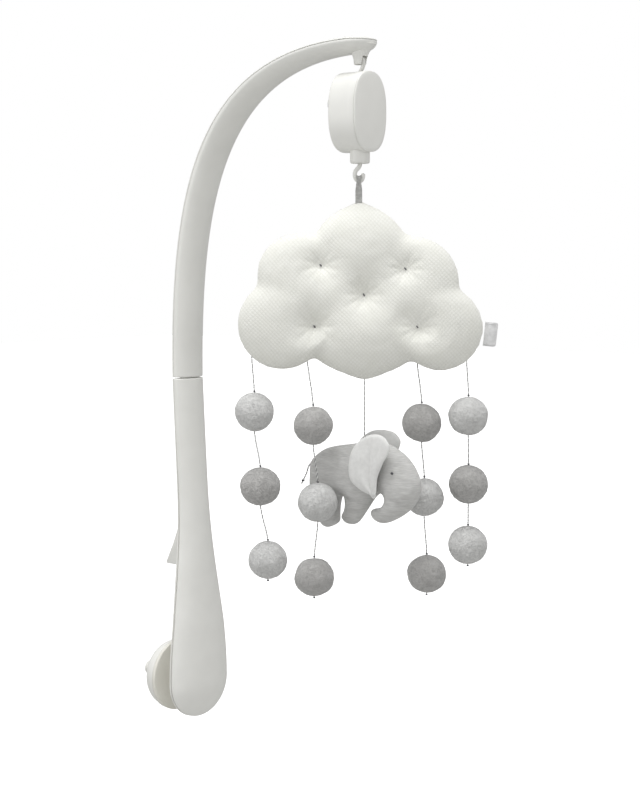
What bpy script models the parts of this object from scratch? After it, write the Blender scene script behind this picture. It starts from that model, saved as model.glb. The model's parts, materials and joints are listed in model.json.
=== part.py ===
"""Crib mobile: a clamp-on post and arm, a wind-up music box, and a cloud with felt balls and an elephant.

Metres, +Z up.  The origin is the middle of the flat underside of the rail hook, where the post sits
on the crib rail.  +X points over the crib, and the post is thin in X and wide in Y.
"""
import math

import bmesh
import bpy
from mathutils import Matrix, Vector

# ---- driving dimensions ---------------------------------------------------------------------------
GAP = 0.0003                    # clearance between touching pieces

JOINT_Z = 0.179                 # where the arm plugs into the post
JOINT_GAP = 0.0012              # open line between arm and post
NECK_HALF = 0.0177              # half width of the arm and of the post's neck
NECK_SIDE = 0.0062              # depth of the flat side wall at the neck
NECK_CROWN = 0.0086             # rise of the crowned face at the neck
WALL = 0.0022                   # wall of the plastic shells
COVER = 0.0026                  # thickness of the back covers

FOOT_Z = -0.110                 # centre of the post's round end, and the clamp's axis
FOOT_RADIUS = 0.0362
FOOT_SIDE = 0.0040
FOOT_CROWN = 0.0165
NECK_BACK_X = 0.0               # the arm's and post's back at the joint
FOOT_BACK_X = 0.0115            # the post's back at the foot
LEAN_END_Z = -0.055             # the back leans from the joint down to here, then it is upright
WIDEN_TOP = 0.085               # where the post starts to widen
POST_SCREWS = (0.128, -0.040)

LEDGE_TIP_X = -0.0150           # rail hook: free end of its underside
LEDGE_TOP_Z = 0.064
LEDGE_HALF = 0.012

PAD_FACE_X = -0.0089            # clamp pad face that presses the rail
PAD_RADIUS = 0.0343
PAD_THICK = 0.0036
KNOB_THICK = 0.0165
KNOB_RIM = 0.0305
BOLT_RADIUS = 0.0067
BOLT_END_X = -0.0520

ARM_HANDLE_LOW = (-0.0010, 0.328)     # Bezier handles of the arm's outer line, in X and Z
ARM_HANDLE_TOP = (0.0205, 0.4862)
ARM_TIP = (0.2257, 0.4783)

AXIS_X = 0.2122                 # the vertical axis that the mobile hangs and turns on
BAR_Z = 0.4587                  # hanger bar in the arm's tip
BOX_MID_Z = 0.41475             # music box
BOX_HALF_Y = 0.0220
BOX_HALF_Z = 0.03375
BOX_BACK_X = 0.1940
BOX_SEAM_X = 0.2222
BOX_FRONT_X = 0.2250
BOX_WALL = 0.0020
COLLAR_RADIUS = 0.0085
COLLAR_BOTTOM_Z = 0.3715
BOX_SCREWS = ((0.0176, 0.4200), (-0.0176, 0.4200), (0.0, 0.4425))     # their Y and Z
KEY_Z = 0.424                   # winding axis
COMB_SCREWS = (0.3945, 0.4003)

CLOUD_TURN = math.radians(38.57)      # how far the cloud's wide side is turned from +X
CLOUD_HALF_DEPTH = 0.027
CLOUD_CENTRE_Z = 0.254
HOOK_WIRE = 0.00185
HOOK_LOW_Z = 0.3566

BALL_RADIUS = 0.0171
BALL_BORE = 0.0016
TWINE = 0.00065
ELEPHANT_TURN = math.radians(38.0)    # the elephant's head turns this far out of the cloud's plane

# ---- the scene --------------------------------------------------------------------------------------
for old in list(bpy.data.objects):
    bpy.data.objects.remove(old, do_unlink=True)
PARTS = bpy.data.collections.new("crib_mobile")
CUTTERS = bpy.data.collections.new("cutters")
bpy.context.scene.collection.children.link(PARTS)
bpy.context.scene.collection.children.link(CUTTERS)


def material(name, colour, rough, metal=0.0):
    mat = bpy.data.materials.new(name)
    mat.use_nodes = True
    shader = mat.node_tree.nodes["Principled BSDF"]
    shader.inputs["Base Color"].default_value = (*colour, 1.0)
    shader.inputs["Roughness"].default_value = rough
    shader.inputs["Metallic"].default_value = metal
    return mat


PLASTIC = material("off_white_plastic", (0.78, 0.77, 0.72), 0.38)
PAD_PLASTIC = material("soft_pad_plastic", (0.70, 0.68, 0.60), 0.6)
STEEL = material("steel", (0.55, 0.55, 0.56), 0.3, 1.0)
BRASS = material("brass", (0.66, 0.50, 0.22), 0.32, 1.0)
CLOUD_KNIT = material("cloud_knit", (0.86, 0.85, 0.80), 0.95)
LABEL_CLOTH = material("label_cloth", (0.85, 0.85, 0.84), 0.8)
TAPE = material("twill_tape", (0.38, 0.38, 0.38), 0.9)
FELT_LIGHT = material("felt_light", (0.52, 0.52, 0.52), 1.0)
FELT_DARK = material("felt_dark", (0.32, 0.31, 0.31), 1.0)
TWINE_YARN = material("twine", (0.20, 0.20, 0.20), 0.9)
GREY_KNIT = material("grey_knit", (0.45, 0.45, 0.45), 0.95)
EAR_CLOTH = material("ear_cloth", (0.82, 0.82, 0.82), 0.95)


# ---- making and joining shapes -----------------------------------------------------------------------
def keep(obj, mat, sharp=35.0):
    """Give a finished piece its material, its shading and its place in the collection."""
    obj.data.materials.clear()
    obj.data.materials.append(mat)
    obj.data.shade_smooth()
    obj.data.set_sharp_from_angle(angle=math.radians(sharp))
    return obj


def from_bmesh(name, bm, collection=PARTS):
    bmesh.ops.recalc_face_normals(bm, faces=bm.faces[:])
    mesh = bpy.data.meshes.new(name)
    bm.to_mesh(mesh)
    bm.free()
    obj = bpy.data.objects.new(name, mesh)
    collection.objects.link(obj)
    if collection is CUTTERS:
        obj.hide_render = True
        obj.display_type = "WIRE"
    return obj


def loft(name, rings, collection=PARTS):
    """A closed solid through rings of equal count, capped at both ends."""
    bm = bmesh.new()
    loops = [[bm.verts.new(point) for point in ring] for ring in rings]
    count = len(rings[0])
    for low, high in zip(loops, loops[1:]):
        for i in range(count):
            j = (i + 1) % count
            bm.faces.new((low[i], low[j], high[j], high[i]))
    bm.faces.new(loops[0][::-1])
    bm.faces.new(loops[-1])
    return from_bmesh(name, bm, collection)


def box(name, low, high, collection=PARTS):
    size = Vector(high) - Vector(low)
    middle = (Vector(high) + Vector(low)) / 2
    bm = bmesh.new()
    bmesh.ops.create_cube(bm, size=1.0, matrix=Matrix.Translation(middle) @ Matrix.Diagonal((*size, 1.0)))
    return from_bmesh(name, bm, collection)


AXES = {
    "x": Matrix.Rotation(math.pi / 2, 4, "Y"),
    "y": Matrix.Rotation(-math.pi / 2, 4, "X"),
    "z": Matrix.Identity(4),
}


def rod(name, axis, start, length, radius, sides=20, collection=PARTS):
    """A round rod from start along +axis."""
    place = Matrix.Translation(Vector(start)) @ AXES[axis] @ Matrix.Translation((0, 0, length / 2))
    bm = bmesh.new()
    bmesh.ops.create_cone(bm, cap_ends=True, segments=sides, radius1=radius, radius2=radius,
                          depth=length, matrix=place)
    return from_bmesh(name, bm, collection)


def turned(name, profile, axis, origin, sides=24, collection=PARTS):
    """A turned piece: (radius, height) points run down its outer side, and height lies along axis."""
    mesh = bpy.data.meshes.new(name)
    closed = profile[0][0] > 0.0
    edges = [(i, i + 1) for i in range(len(profile) - 1)]
    if closed:
        edges.append((len(profile) - 1, 0))
    mesh.from_pydata([(r, 0.0, h) for r, h in profile], edges, [])
    obj = bpy.data.objects.new(name, mesh)
    collection.objects.link(obj)
    screw = obj.modifiers.new("turn", "SCREW")
    screw.axis = "Z"
    screw.steps = sides
    screw.render_steps = sides
    screw.use_merge_vertices = True
    screw.merge_threshold = 0.00001
    obj.matrix_world = Matrix.Translation(Vector(origin)) @ AXES[axis]
    return fixed(obj, collection)


def fixed(obj, collection=PARTS):
    """Turn an object with modifiers, or a curve, into a plain closed mesh in the same place."""
    bpy.context.view_layer.update()
    seen = obj.evaluated_get(bpy.context.evaluated_depsgraph_get())
    mesh = bpy.data.meshes.new_from_object(seen)
    name = obj.name
    place = obj.matrix_world.copy()
    bpy.data.objects.remove(obj, do_unlink=True)
    bm = bmesh.new()
    bm.from_mesh(mesh)
    bm.transform(place)
    bmesh.ops.remove_doubles(bm, verts=bm.verts[:], dist=0.000005)
    bpy.data.meshes.remove(mesh)
    return from_bmesh(name, bm, collection)


def boolean(obj, other, operation):
    """Cut or join with another solid, which becomes a hidden cutter."""
    for group in list(other.users_collection):
        group.objects.unlink(other)
    CUTTERS.objects.link(other)
    other.hide_render = True
    other.display_type = "WIRE"
    change = obj.modifiers.new(operation.lower(), "BOOLEAN")
    change.operation = operation
    change.solver = "EXACT"
    change.object = other
    return obj


def cut(obj, *others):
    for other in others:
        boolean(obj, other, "DIFFERENCE")
    return obj


def join(obj, *others):
    for other in others:
        boolean(obj, other, "UNION")
    return obj


def wire(name, points, radius, sides_level=2, collection=PARTS):
    """A round wire along points, with filled ends."""
    curve = bpy.data.curves.new(name, "CURVE")
    curve.dimensions = "3D"
    curve.bevel_depth = radius
    curve.bevel_resolution = sides_level
    curve.use_fill_caps = True
    spline = curve.splines.new("POLY")
    spline.points.add(len(points) - 1)
    for point, place in zip(spline.points, points):
        point.co = (*place, 1.0)
    obj = bpy.data.objects.new(name, curve)
    collection.objects.link(obj)
    return fixed(obj, collection)


def smooth_route(points, steps):
    """Points along one smooth curve that passes through the given points."""
    knots = [Vector(p) for p in points]
    padded = [2 * knots[0] - knots[1], *knots, 2 * knots[-1] - knots[-2]]
    route = []
    for a, b, c, d in zip(padded, padded[1:], padded[2:], padded[3:]):
        for i in range(steps):
            t = i / steps
            route.append(0.5 * (2 * b + (c - a) * t + (2 * a - 5 * b + 4 * c - d) * t * t
                                + (3 * b - a - 3 * c + d) * t ** 3))
    route.append(knots[-1])
    return route


def strip(name, route, across, half_widths, half_thick, corner=0.25, collection=PARTS):
    """A flat strip swept along a route; across is the fixed direction of its width."""
    across = Vector(across).normalized()
    rings = []
    for i, (place, half_width) in enumerate(zip(route, half_widths)):
        along = (route[min(i + 1, len(route) - 1)] - route[max(i - 1, 0)]).normalized()
        out = across.cross(along).normalized()
        ring = []
        for sx, sy, order in ((-1, -1, 0), (1, -1, 1), (1, 1, 0), (-1, 1, 1)):
            near = place + across * sx * half_width * (1 - corner) + out * sy * half_thick
            side = place + across * sx * half_width + out * sy * half_thick * (1 - corner)
            ring += [side, near] if order == 0 else [near, side]
        rings.append(ring)
    return loft(name, rings, collection)


def ease(t):
    t = min(max(t, 0.0), 1.0)
    return t * t * (3 - 2 * t)


def blend(a, b, t):
    return a + (b - a) * t


# ---- post and arm -----------------------------------------------------------------------------------
CROWN_STEPS = 8


def crowned_section(half, low, side, crown, power):
    """Outline of the crowned part: (across, depth) from its flat rim at depth low to the crown."""
    points = [(-half, low), (half, low), (half, side)]
    for i in range(1, CROWN_STEPS):
        y = half * math.cos(math.pi * i / CROWN_STEPS)
        points.append((y, side + crown * (1 - (y / half) ** 2) ** power))
    points.append((-half, side))
    return points


def flat_section(half, low, high, edge=0.0009):
    """Outline of a cover strip whose outer corners are rounded off."""
    edge = min(edge, half / 2, (high - low) * 0.8)
    return [(-half, high), (-half, low + edge), (-half + edge, low), (half - edge, low),
            (half, low + edge), (half, high)]


def post_back(z):
    share = min(max((JOINT_Z - z) / (JOINT_Z - LEAN_END_Z), 0.0), 1.0)
    return blend(NECK_BACK_X, FOOT_BACK_X, share)


def post_half(z, inset=0.0):
    if z >= FOOT_Z:
        widened = ease((WIDEN_TOP - z) / (WIDEN_TOP - FOOT_Z)) ** 1.25
        return blend(NECK_HALF, FOOT_RADIUS, widened) - inset
    radius = FOOT_RADIUS - inset
    return math.sqrt(max(radius ** 2 - (FOOT_Z - z) ** 2, 0.0004 ** 2))


def post_levels(top, inset, count=16, end_count=6):
    """Heights from the top of the post down to the end of its round foot."""
    levels = [blend(top, FOOT_Z, i / count) for i in range(count)]
    radius = FOOT_RADIUS - inset
    for i in range(end_count + 1):
        levels.append(FOOT_Z - radius * math.sin(math.radians(88.5) * i / end_count))
    return levels


def post_ring(z, outline):
    return [(post_back(z) + depth, y, z) for y, depth in outline]


def post_crown(z):
    down = ease((JOINT_Z - z) / (JOINT_Z - FOOT_Z))
    side = blend(NECK_SIDE, FOOT_SIDE, down)
    crown = blend(NECK_CROWN, FOOT_CROWN, down)
    power = blend(0.72, 0.5, down)
    return side, crown, power


def post_solid(name, top, low, inset, collection=PARTS):
    rings = []
    for z in post_levels(top, inset):
        side, crown, power = post_crown(z)
        if z < FOOT_Z:
            crown *= post_half(z, inset) / (FOOT_RADIUS - inset)
        outline = crowned_section(post_half(z, inset), low, side, crown - inset, power)
        rings.append(post_ring(z, outline))
    return loft(name, rings, collection)


def arm_point(t):
    p0 = Vector((NECK_BACK_X, 0, JOINT_Z))
    p1 = Vector((ARM_HANDLE_LOW[0], 0, ARM_HANDLE_LOW[1]))
    p2 = Vector((ARM_HANDLE_TOP[0], 0, ARM_HANDLE_TOP[1]))
    p3 = Vector((ARM_TIP[0], 0, ARM_TIP[1]))
    place = p0 * (1 - t) ** 3 + p1 * 3 * (1 - t) ** 2 * t + p2 * 3 * (1 - t) * t ** 2 + p3 * t ** 3
    along = ((p1 - p0) * (1 - t) ** 2 + (p2 - p1) * 2 * (1 - t) * t + (p3 - p2) * t ** 2).normalized()
    return place, Vector((along.z, 0, -along.x))


def arm_stations(start, inset):
    """Curve parameters from the joint to the tip, with the half width at each."""
    fine = 2000
    length = [0.0]
    last = arm_point(0)[0]
    for i in range(1, fine + 1):
        here = arm_point(i / fine)[0]
        length.append(length[-1] + (here - last).length)
        last = here
    total = length[-1]
    tip = NECK_HALF - inset
    marks = [start + (total - NECK_HALF - start) * i / 22 for i in range(22)]
    marks += [total - NECK_HALF + tip * math.sin(math.radians(88.5) * i / 5) for i in range(6)]
    stations = []
    for mark in marks:
        k = min(range(fine + 1), key=lambda n: abs(length[n] - mark))
        past = max(mark - (total - NECK_HALF), 0.0)
        stations.append((k / fine, math.sqrt(max(tip ** 2 - past ** 2, 0.0004 ** 2))))
    return stations


def arm_ring(t, outline):
    place, inward = arm_point(t)
    return [place + inward * depth + Vector((0, y, 0)) for y, depth in outline]


def arm_solid(name, start, low, inset, collection=PARTS):
    rings = []
    for t, half in arm_stations(start, inset):
        crown = NECK_CROWN * blend(0.55, 1.0, half / (NECK_HALF - inset)) - inset
        rings.append(arm_ring(t, crowned_section(half, low, NECK_SIDE, crown, 0.72)))
    return loft(name, rings, collection)


def make_post():
    top = JOINT_Z - JOINT_GAP / 2
    shell = post_solid("post_front_shell", top, COVER + GAP, 0.0)
    hollow = post_solid("post_hollow", top + 0.002, COVER - 0.001, WALL, CUTTERS)
    cut(shell, hollow)
    keep(shell, PLASTIC)

    rings = []
    for z in post_levels(top, 0.0):
        rings.append(post_ring(z, flat_section(post_half(z), 0.0, COVER)))
    cover = loft("post_back_cover", rings)
    join(cover, rail_hook())
    cut(cover, rod("bolt_hole", "x", (0.005, 0, FOOT_Z), 0.015, BOLT_RADIUS + GAP, collection=CUTTERS))
    for z in POST_SCREWS:
        cut(cover, rod("screw_hole", "x", (post_back(z) - 0.003, 0, z), 0.01, 0.0016, sides=12,
                       collection=CUTTERS))
    keep(cover, PLASTIC)
    for number, z in enumerate(POST_SCREWS, 1):
        back = post_back(z)
        screw = turned(f"post_screw_{number}", [(0.0, -0.0012), (0.0028, -0.0010), (0.0028, -GAP),
                                                (0.0013, -GAP), (0.0013, 0.0075), (0.0, 0.0080)][::-1],
                       "x", (back, 0, z), 12)
        keep(screw, STEEL)


def rail_hook():
    """The wedge whose flat underside sits on the crib rail."""
    root = 0.0012
    side = [(post_back(LEDGE_TOP_Z) + root, LEDGE_TOP_Z), (0.0036, 0.042), (-0.0056, 0.020),
            (LEDGE_TIP_X, 0.0016), (LEDGE_TIP_X + 0.0010, 0.0), (post_back(0.0) + root, 0.0),
            (post_back(0.03) + root, 0.03)]
    rings = [[(x, y, z) for x, z in side] for y in (-LEDGE_HALF, LEDGE_HALF)]
    return loft("rail_hook", rings, CUTTERS)


def make_arm():
    start = JOINT_GAP / 2
    shell = arm_solid("arm_inner_shell", start, COVER + GAP, 0.0)
    cut(shell, arm_solid("arm_hollow", -0.002, COVER - 0.001, WALL, CUTTERS))
    join(shell, hanger_boss())
    socket = turned("boss_bore", [(0.0, 0.0055), (0.0052, 0.0040), (0.0052, -0.012), (0.0, -0.012)],
                    "z", (AXIS_X, 0, BAR_Z), 24, CUTTERS)
    socket.data.transform(Matrix.Translation((AXIS_X, 0, 0)) @ Matrix.Diagonal((0.94, 0.66, 1, 1))
                          @ Matrix.Translation((-AXIS_X, 0, 0)))
    window = box("boss_window", (AXIS_X + 0.0010, -0.0026, BAR_Z - 0.010),
                 (AXIS_X + 0.010, 0.0026, BAR_Z + 0.0022), CUTTERS)
    pin_hole = rod("pin_hole", "y", (AXIS_X, -0.009, BAR_Z), 0.018, 0.0011 + GAP, sides=12,
                   collection=CUTTERS)
    cut(shell, socket, window, pin_hole)
    keep(shell, PLASTIC)

    rings = []
    for t, half in arm_stations(start, 0.0):
        rings.append(arm_ring(t, flat_section(half, 0.0, COVER)))
    keep(loft("arm_outer_cover", rings), PLASTIC)

    keep(rod("hanger_pin", "y", (AXIS_X, -0.0041, BAR_Z), 0.0082, 0.0011, sides=12), STEEL)
    spigot = box("arm_spigot", (0.0047, -0.0115, JOINT_Z - 0.030), (0.0093, 0.0115, JOINT_Z + 0.026))
    soften = spigot.modifiers.new("soften", "BEVEL")
    soften.width = 0.0010
    soften.segments = 2
    keep(spigot, PLASTIC)


def hanger_boss():
    """The flared stub under the arm's tip that the music box hangs in."""
    top = 0.4700
    profile = [(0.0, top), (0.0088, top), (0.0082, 0.4668), (0.0068, 0.4652), (0.0061, 0.4630),
               (0.0060, 0.4545), (0.0, 0.4545)]
    boss = turned("hanger_boss", profile, "z", (AXIS_X, 0, 0), 24, CUTTERS)
    boss.data.transform(Matrix.Translation((AXIS_X, 0, 0)) @ Matrix.Diagonal((0.96, 0.74, 1, 1))
                        @ Matrix.Translation((-AXIS_X, 0, 0)))
    return boss


def make_clamp():
    thread_start = post_back(FOOT_Z) + COVER + 2 * GAP
    bolt = rod("clamp_bolt", "x", (BOLT_END_X, 0, FOOT_Z), thread_start - BOLT_END_X, BOLT_RADIUS, sides=24)
    head = rod("bolt_head", "x", (thread_start - 0.0002, 0, FOOT_Z), 0.0050, 0.0115, sides=6,
               collection=CUTTERS)
    join(bolt, head)
    keep(bolt, PLASTIC)

    bore = BOLT_RADIUS + GAP
    pad = [(PAD_RADIUS - 0.0008, 0.0), (bore, 0.0), (bore, -PAD_THICK), (PAD_RADIUS, -PAD_THICK),
           (PAD_RADIUS, -0.0008)]
    keep(turned("clamp_pad", pad[::-1], "x", (PAD_FACE_X, 0, FOOT_Z), 32), PAD_PLASTIC)

    back = -PAD_THICK - GAP
    knob = [(bore, back), (PAD_RADIUS - 0.0010, back), (PAD_RADIUS - 0.0006, back - 0.0018)]
    for i in range(1, 6):
        angle = math.radians(15 * i)
        knob.append((blend(KNOB_RIM - 0.004, PAD_RADIUS - 0.0006, math.cos(angle)),
                     back - 0.0018 - (KNOB_THICK - 0.0030) * math.sin(angle)))
    knob += [(0.0125, back - KNOB_THICK), (bore, back - KNOB_THICK)]
    keep(turned("clamp_knob", knob, "x", (PAD_FACE_X, 0, FOOT_Z), 32), PLASTIC)


# ---- music box ---------------------------------------------------------------------------------------
def capsule(half_y, half_z, x, count=40, power=2.7):
    ring = []
    for i in range(count):
        angle = math.tau * i / count
        c, s = math.cos(angle), math.sin(angle)
        ring.append((x, half_y * math.copysign(abs(c) ** (2 / power), c),
                     BOX_MID_Z + half_z * math.copysign(abs(s) ** (2 / power), s)))
    return ring


MOVEMENT_FEET = ((-0.0100, 0.3895), (0.0100, 0.3895), (-0.0100, 0.4315), (0.0100, 0.4315))


def make_box():
    edge = 0.0012
    rings = [capsule(BOX_HALF_Y - 2 * edge, BOX_HALF_Z - 2 * edge, BOX_BACK_X),
             capsule(BOX_HALF_Y - 0.6 * edge, BOX_HALF_Z - 0.6 * edge, BOX_BACK_X + 0.4 * edge),
             capsule(BOX_HALF_Y, BOX_HALF_Z, BOX_BACK_X + 1.6 * edge),
             capsule(BOX_HALF_Y, BOX_HALF_Z, BOX_SEAM_X)]
    body = loft("box_body", rings)
    inner_y = BOX_HALF_Y - BOX_WALL
    inner_z = BOX_HALF_Z - BOX_WALL
    collar = turned("collar", [(0.0, 0.3830), (COLLAR_RADIUS, 0.3830), (COLLAR_RADIUS, 0.3729),
                               (COLLAR_RADIUS - 0.0006, 0.3719), (COLLAR_RADIUS - 0.0022, COLLAR_BOTTOM_Z),
                               (0.0, COLLAR_BOTTOM_Z)], "z", (AXIS_X, 0, 0), 28, CUTTERS)
    join(body, collar)
    cut(body, loft("box_hollow", [capsule(inner_y, inner_z, BOX_BACK_X + BOX_WALL),
                                  capsule(inner_y, inner_z, BOX_SEAM_X + 0.002)], CUTTERS))
    cut(body, rod("shaft_bore", "z", (AXIS_X, 0, 0.366), 0.020, 0.0033, collection=CUTTERS),
        rod("key_bore", "x", (BOX_BACK_X - 0.003, 0, KEY_Z), 0.008, 0.0025, collection=CUTTERS),
        rod("hook_seat", "z", (AXIS_X, 0, 0.4440), 0.010, 0.0028, sides=12, collection=CUTTERS))
    for y, z in BOX_SCREWS:
        cut(body, rod("box_screw_hole", "x", (BOX_BACK_X - 0.003, y, z), 0.008, 0.0014, sides=10,
                      collection=CUTTERS))
    for y, z in MOVEMENT_FEET:
        join(body, rod("movement_foot", "x", (BOX_BACK_X + 0.0010, y, z), 0.2016 - BOX_BACK_X - 0.0010, 0.0016,
                       sides=10, collection=CUTTERS))
    keep(body, PLASTIC)

    face = [capsule(BOX_HALF_Y, BOX_HALF_Z, BOX_SEAM_X + GAP),
            capsule(BOX_HALF_Y, BOX_HALF_Z, BOX_SEAM_X + 0.0009),
            capsule(BOX_HALF_Y - 0.0016, BOX_HALF_Z - 0.0016, BOX_FRONT_X - 0.0008),
            capsule(BOX_HALF_Y - 0.0060, BOX_HALF_Z - 0.0060, BOX_FRONT_X - 0.0002),
            capsule(BOX_HALF_Y - 0.0120, BOX_HALF_Z - 0.0130, BOX_FRONT_X)]
    keep(loft("box_front_cover", face), PLASTIC)

    for number, (y, z) in enumerate(BOX_SCREWS, 1):
        screw = turned(f"box_screw_{number}", [(0.0, 0.0259), (0.0010, 0.0254), (0.0010, -GAP), (0.0022, -GAP),
                                               (0.0022, -0.0014), (0.0, -0.0016)],
                       "x", (BOX_BACK_X, y, z), 10)
        keep(screw, STEEL)

    route = smooth_route([(AXIS_X, 0, 0.4449), (AXIS_X + 0.0002, 0, 0.4482), (AXIS_X + 0.0022, 0, 0.4512),
                          (AXIS_X + 0.0037, 0, 0.4548), (AXIS_X + 0.0031, 0, 0.4590),
                          (AXIS_X + 0.0010, 0, 0.4614), (AXIS_X - 0.0017, 0, 0.4608),
                          (AXIS_X - 0.0030, 0, 0.4584)], 3)
    keep(strip("box_hook", route, (0, 1, 0), [0.0016] * len(route), 0.0011), PLASTIC)


# ---- the movement inside the box ---------------------------------------------------------------------
MAIN_TEETH = 40
PINION_TEETH = 12
MAIN_RADIUS = 0.0120
PINION_RADIUS = MAIN_RADIUS * PINION_TEETH / MAIN_TEETH
DRUM_TEETH = 26
FLY_TEETH = 10
TOOTH_MODULE = 0.0005
WORM_WHEEL_TEETH = 18
WORM_WHEEL_RADIUS = 0.0042
FLY_SHAFT = (AXIS_X + 0.0028, -0.00855)
DRUM_GEAR_Z = 0.4042
WORM_Z = 0.4122
WORM_Y = FLY_SHAFT[1] - WORM_WHEEL_RADIUS - 0.0015


def gear_outline(teeth, root, tip, thickness, phase):
    """Points round a spur gear with straight-sided teeth; one tooth points at the phase angle."""
    points = []
    pitch = math.tau / teeth
    for i in range(teeth):
        middle = phase + i * pitch
        for radius, share in ((root, -1.15), (tip, -0.72), (tip, 0.72), (root, 1.15)):
            angle = middle + share * thickness / 2 * pitch
            points.append((radius * math.cos(angle), radius * math.sin(angle)))
    return points


def gear_z(name, place, low, high, teeth, root, tip, phase, thickness=0.36, collection=PARTS):
    outline = gear_outline(teeth, root, tip, thickness, phase)
    rings = [[(place[0] + x, place[1] + y, z) for x, y in outline] for z in (low, high)]
    return loft(name, rings, collection)


def make_winding():
    arbor = turned("winding_arbor", [(0.0, 0.0199), (0.0014, 0.0199), (0.0014, 0.0123), (0.0022, 0.0123),
                                     (0.0022, -0.0050), (0.0, -0.0050)],
                   "x", (BOX_BACK_X - 0.0030, 0, KEY_Z), 16)
    keep(arbor, STEEL)

    disc_x = 0.2067
    main = turned("main_gear", [(MAIN_RADIUS + 0.0015, 0.0010), (MAIN_RADIUS + 0.0015, 0.0),
                                (0.0014 + GAP, 0.0), (0.0014 + GAP, 0.0010)][::-1],
                  "x", (disc_x, 0, KEY_Z), 20)
    pitch = math.tau / MAIN_TEETH
    teeth = bmesh.new()
    for i in range(MAIN_TEETH):
        angle = -math.pi / 2 + (i + 0.5) * pitch
        spot = (Matrix.Translation((disc_x, 0, KEY_Z)) @ Matrix.Rotation(angle, 4, "X")
                @ Matrix.Translation((0.00155, MAIN_RADIUS, 0)))
        bmesh.ops.create_cube(teeth, size=1.0, matrix=spot @ Matrix.Diagonal((0.0019, 0.0026, 0.0006, 1)))
    join(main, from_bmesh("face_teeth", teeth, CUTTERS))
    keep(main, BRASS)

    key = rod("winding_key", "x", (BOX_BACK_X - 0.0145, 0, KEY_Z), 0.0100, 0.0048, sides=20)
    wing = box("key_wing", (BOX_BACK_X - 0.0142, -0.0015, KEY_Z - 0.0125),
               (BOX_BACK_X - 0.0048, 0.0015, KEY_Z + 0.0125), CUTTERS)
    soften = wing.modifiers.new("soften", "BEVEL")
    soften.width = 0.0012
    soften.segments = 2
    join(key, wing)
    cut(key, rod("key_socket", "x", (BOX_BACK_X - 0.0083, 0, KEY_Z), 0.0060, 0.0022 + GAP, sides=16,
                 collection=CUTTERS))
    keep(key, PLASTIC)


def make_spring():
    housing = turned("mainspring_housing", [(0.0135, 0.0030), (0.0135, 0.0), (0.0018, 0.0), (0.0018, 0.0006),
                                            (0.0129, 0.0006), (0.0129, 0.0030)][::-1],
                     "x", (0.2035, 0, KEY_Z), 20)
    keep(housing, STEEL)
    turns = 4.0
    count = 60
    half = 0.00016
    inner, outer = [], []
    for i in range(count + 1):
        t = i / count
        angle = math.tau * turns * t
        radius = blend(0.0026, 0.0122, t)
        for points, r in ((inner, radius - half), (outer, radius + half)):
            points.append((r * math.cos(angle), r * math.sin(angle)))
    outline = outer + inner[::-1]
    bm = bmesh.new()
    for x, order in ((0.2044, 1), (0.2062, -1)):
        ring = [bm.verts.new((x, y, KEY_Z + z)) for y, z in outline]
        for i in range(count):
            quad = (ring[i], ring[i + 1], ring[-i - 2], ring[-i - 1])
            bm.faces.new(quad[::order])
        if order == 1:
            first = ring
    size = len(outline)
    for i in range(size):
        j = (i + 1) % size
        bm.faces.new((first[i], first[j], ring[j], ring[i]))
    keep(from_bmesh("mainspring", bm), STEEL)


def make_frame():
    frame = box("movement_frame", (0.2019, -0.0120, 0.3870), (0.2032, 0.0120, 0.4340))
    join(frame, box("top_tab", (0.2030, -0.0160, 0.4078), (0.2172, 0.0060, 0.4090), CUTTERS),
         box("low_tab", (0.2030, -0.0110, 0.3870), (0.2172, 0.0060, 0.3882), CUTTERS),
         box("comb_rest", (0.2030, 0.0112, 0.3915), (0.2116, 0.0155, 0.4033), CUTTERS))
    cut(frame, rod("shaft_hole", "z", (AXIS_X, 0, 0.380), 0.040, 0.00125 + GAP, sides=14, collection=CUTTERS),
        rod("fly_hole", "z", (*FLY_SHAFT, 0.380), 0.040, 0.0008 + GAP, sides=10, collection=CUTTERS),
        rod("arbor_hole", "x", (0.200, 0, KEY_Z), 0.006, 0.0022 + GAP, sides=16, collection=CUTTERS))
    for z in COMB_SCREWS:
        cut(frame, rod("comb_hole", "x", (0.2080, 0.0135, z), 0.006, 0.0008 + GAP, sides=10, collection=CUTTERS))
    keep(frame, STEEL)


def make_comb():
    teeth = 12
    pitch = 0.0010
    low = 0.39145
    outline = [(0.0155, low), (0.0155, low + teeth * pitch - 0.0004)]
    for i in reversed(range(teeth)):
        base = low + i * pitch
        root = 0.0104
        tip = 0.0068
        outline += [(tip, base + 0.0006), (tip, base)]
        if i > 0:
            outline += [(root, base), (root, base - 0.0004)]
    rings = [[(x, y, z) for y, z in outline] for x in (0.2119, 0.2127)]
    comb = loft("comb", rings)
    for z in COMB_SCREWS:
        cut(comb, rod("comb_screw_hole", "x", (0.2080, 0.0135, z), 0.008, 0.0008 + GAP, sides=10,
                      collection=CUTTERS))
    keep(comb, STEEL)
    for number, z in enumerate(COMB_SCREWS, 1):
        screw = turned(f"comb_screw_{number}", [(0.0, 0.0010), (0.0016, 0.0008), (0.0016, GAP), (0.0008, GAP),
                                                (0.0008, -0.0038), (0.0, -0.0040)],
                       "x", (0.2127, 0.0135, z), 10)
        keep(screw, STEEL)


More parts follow.
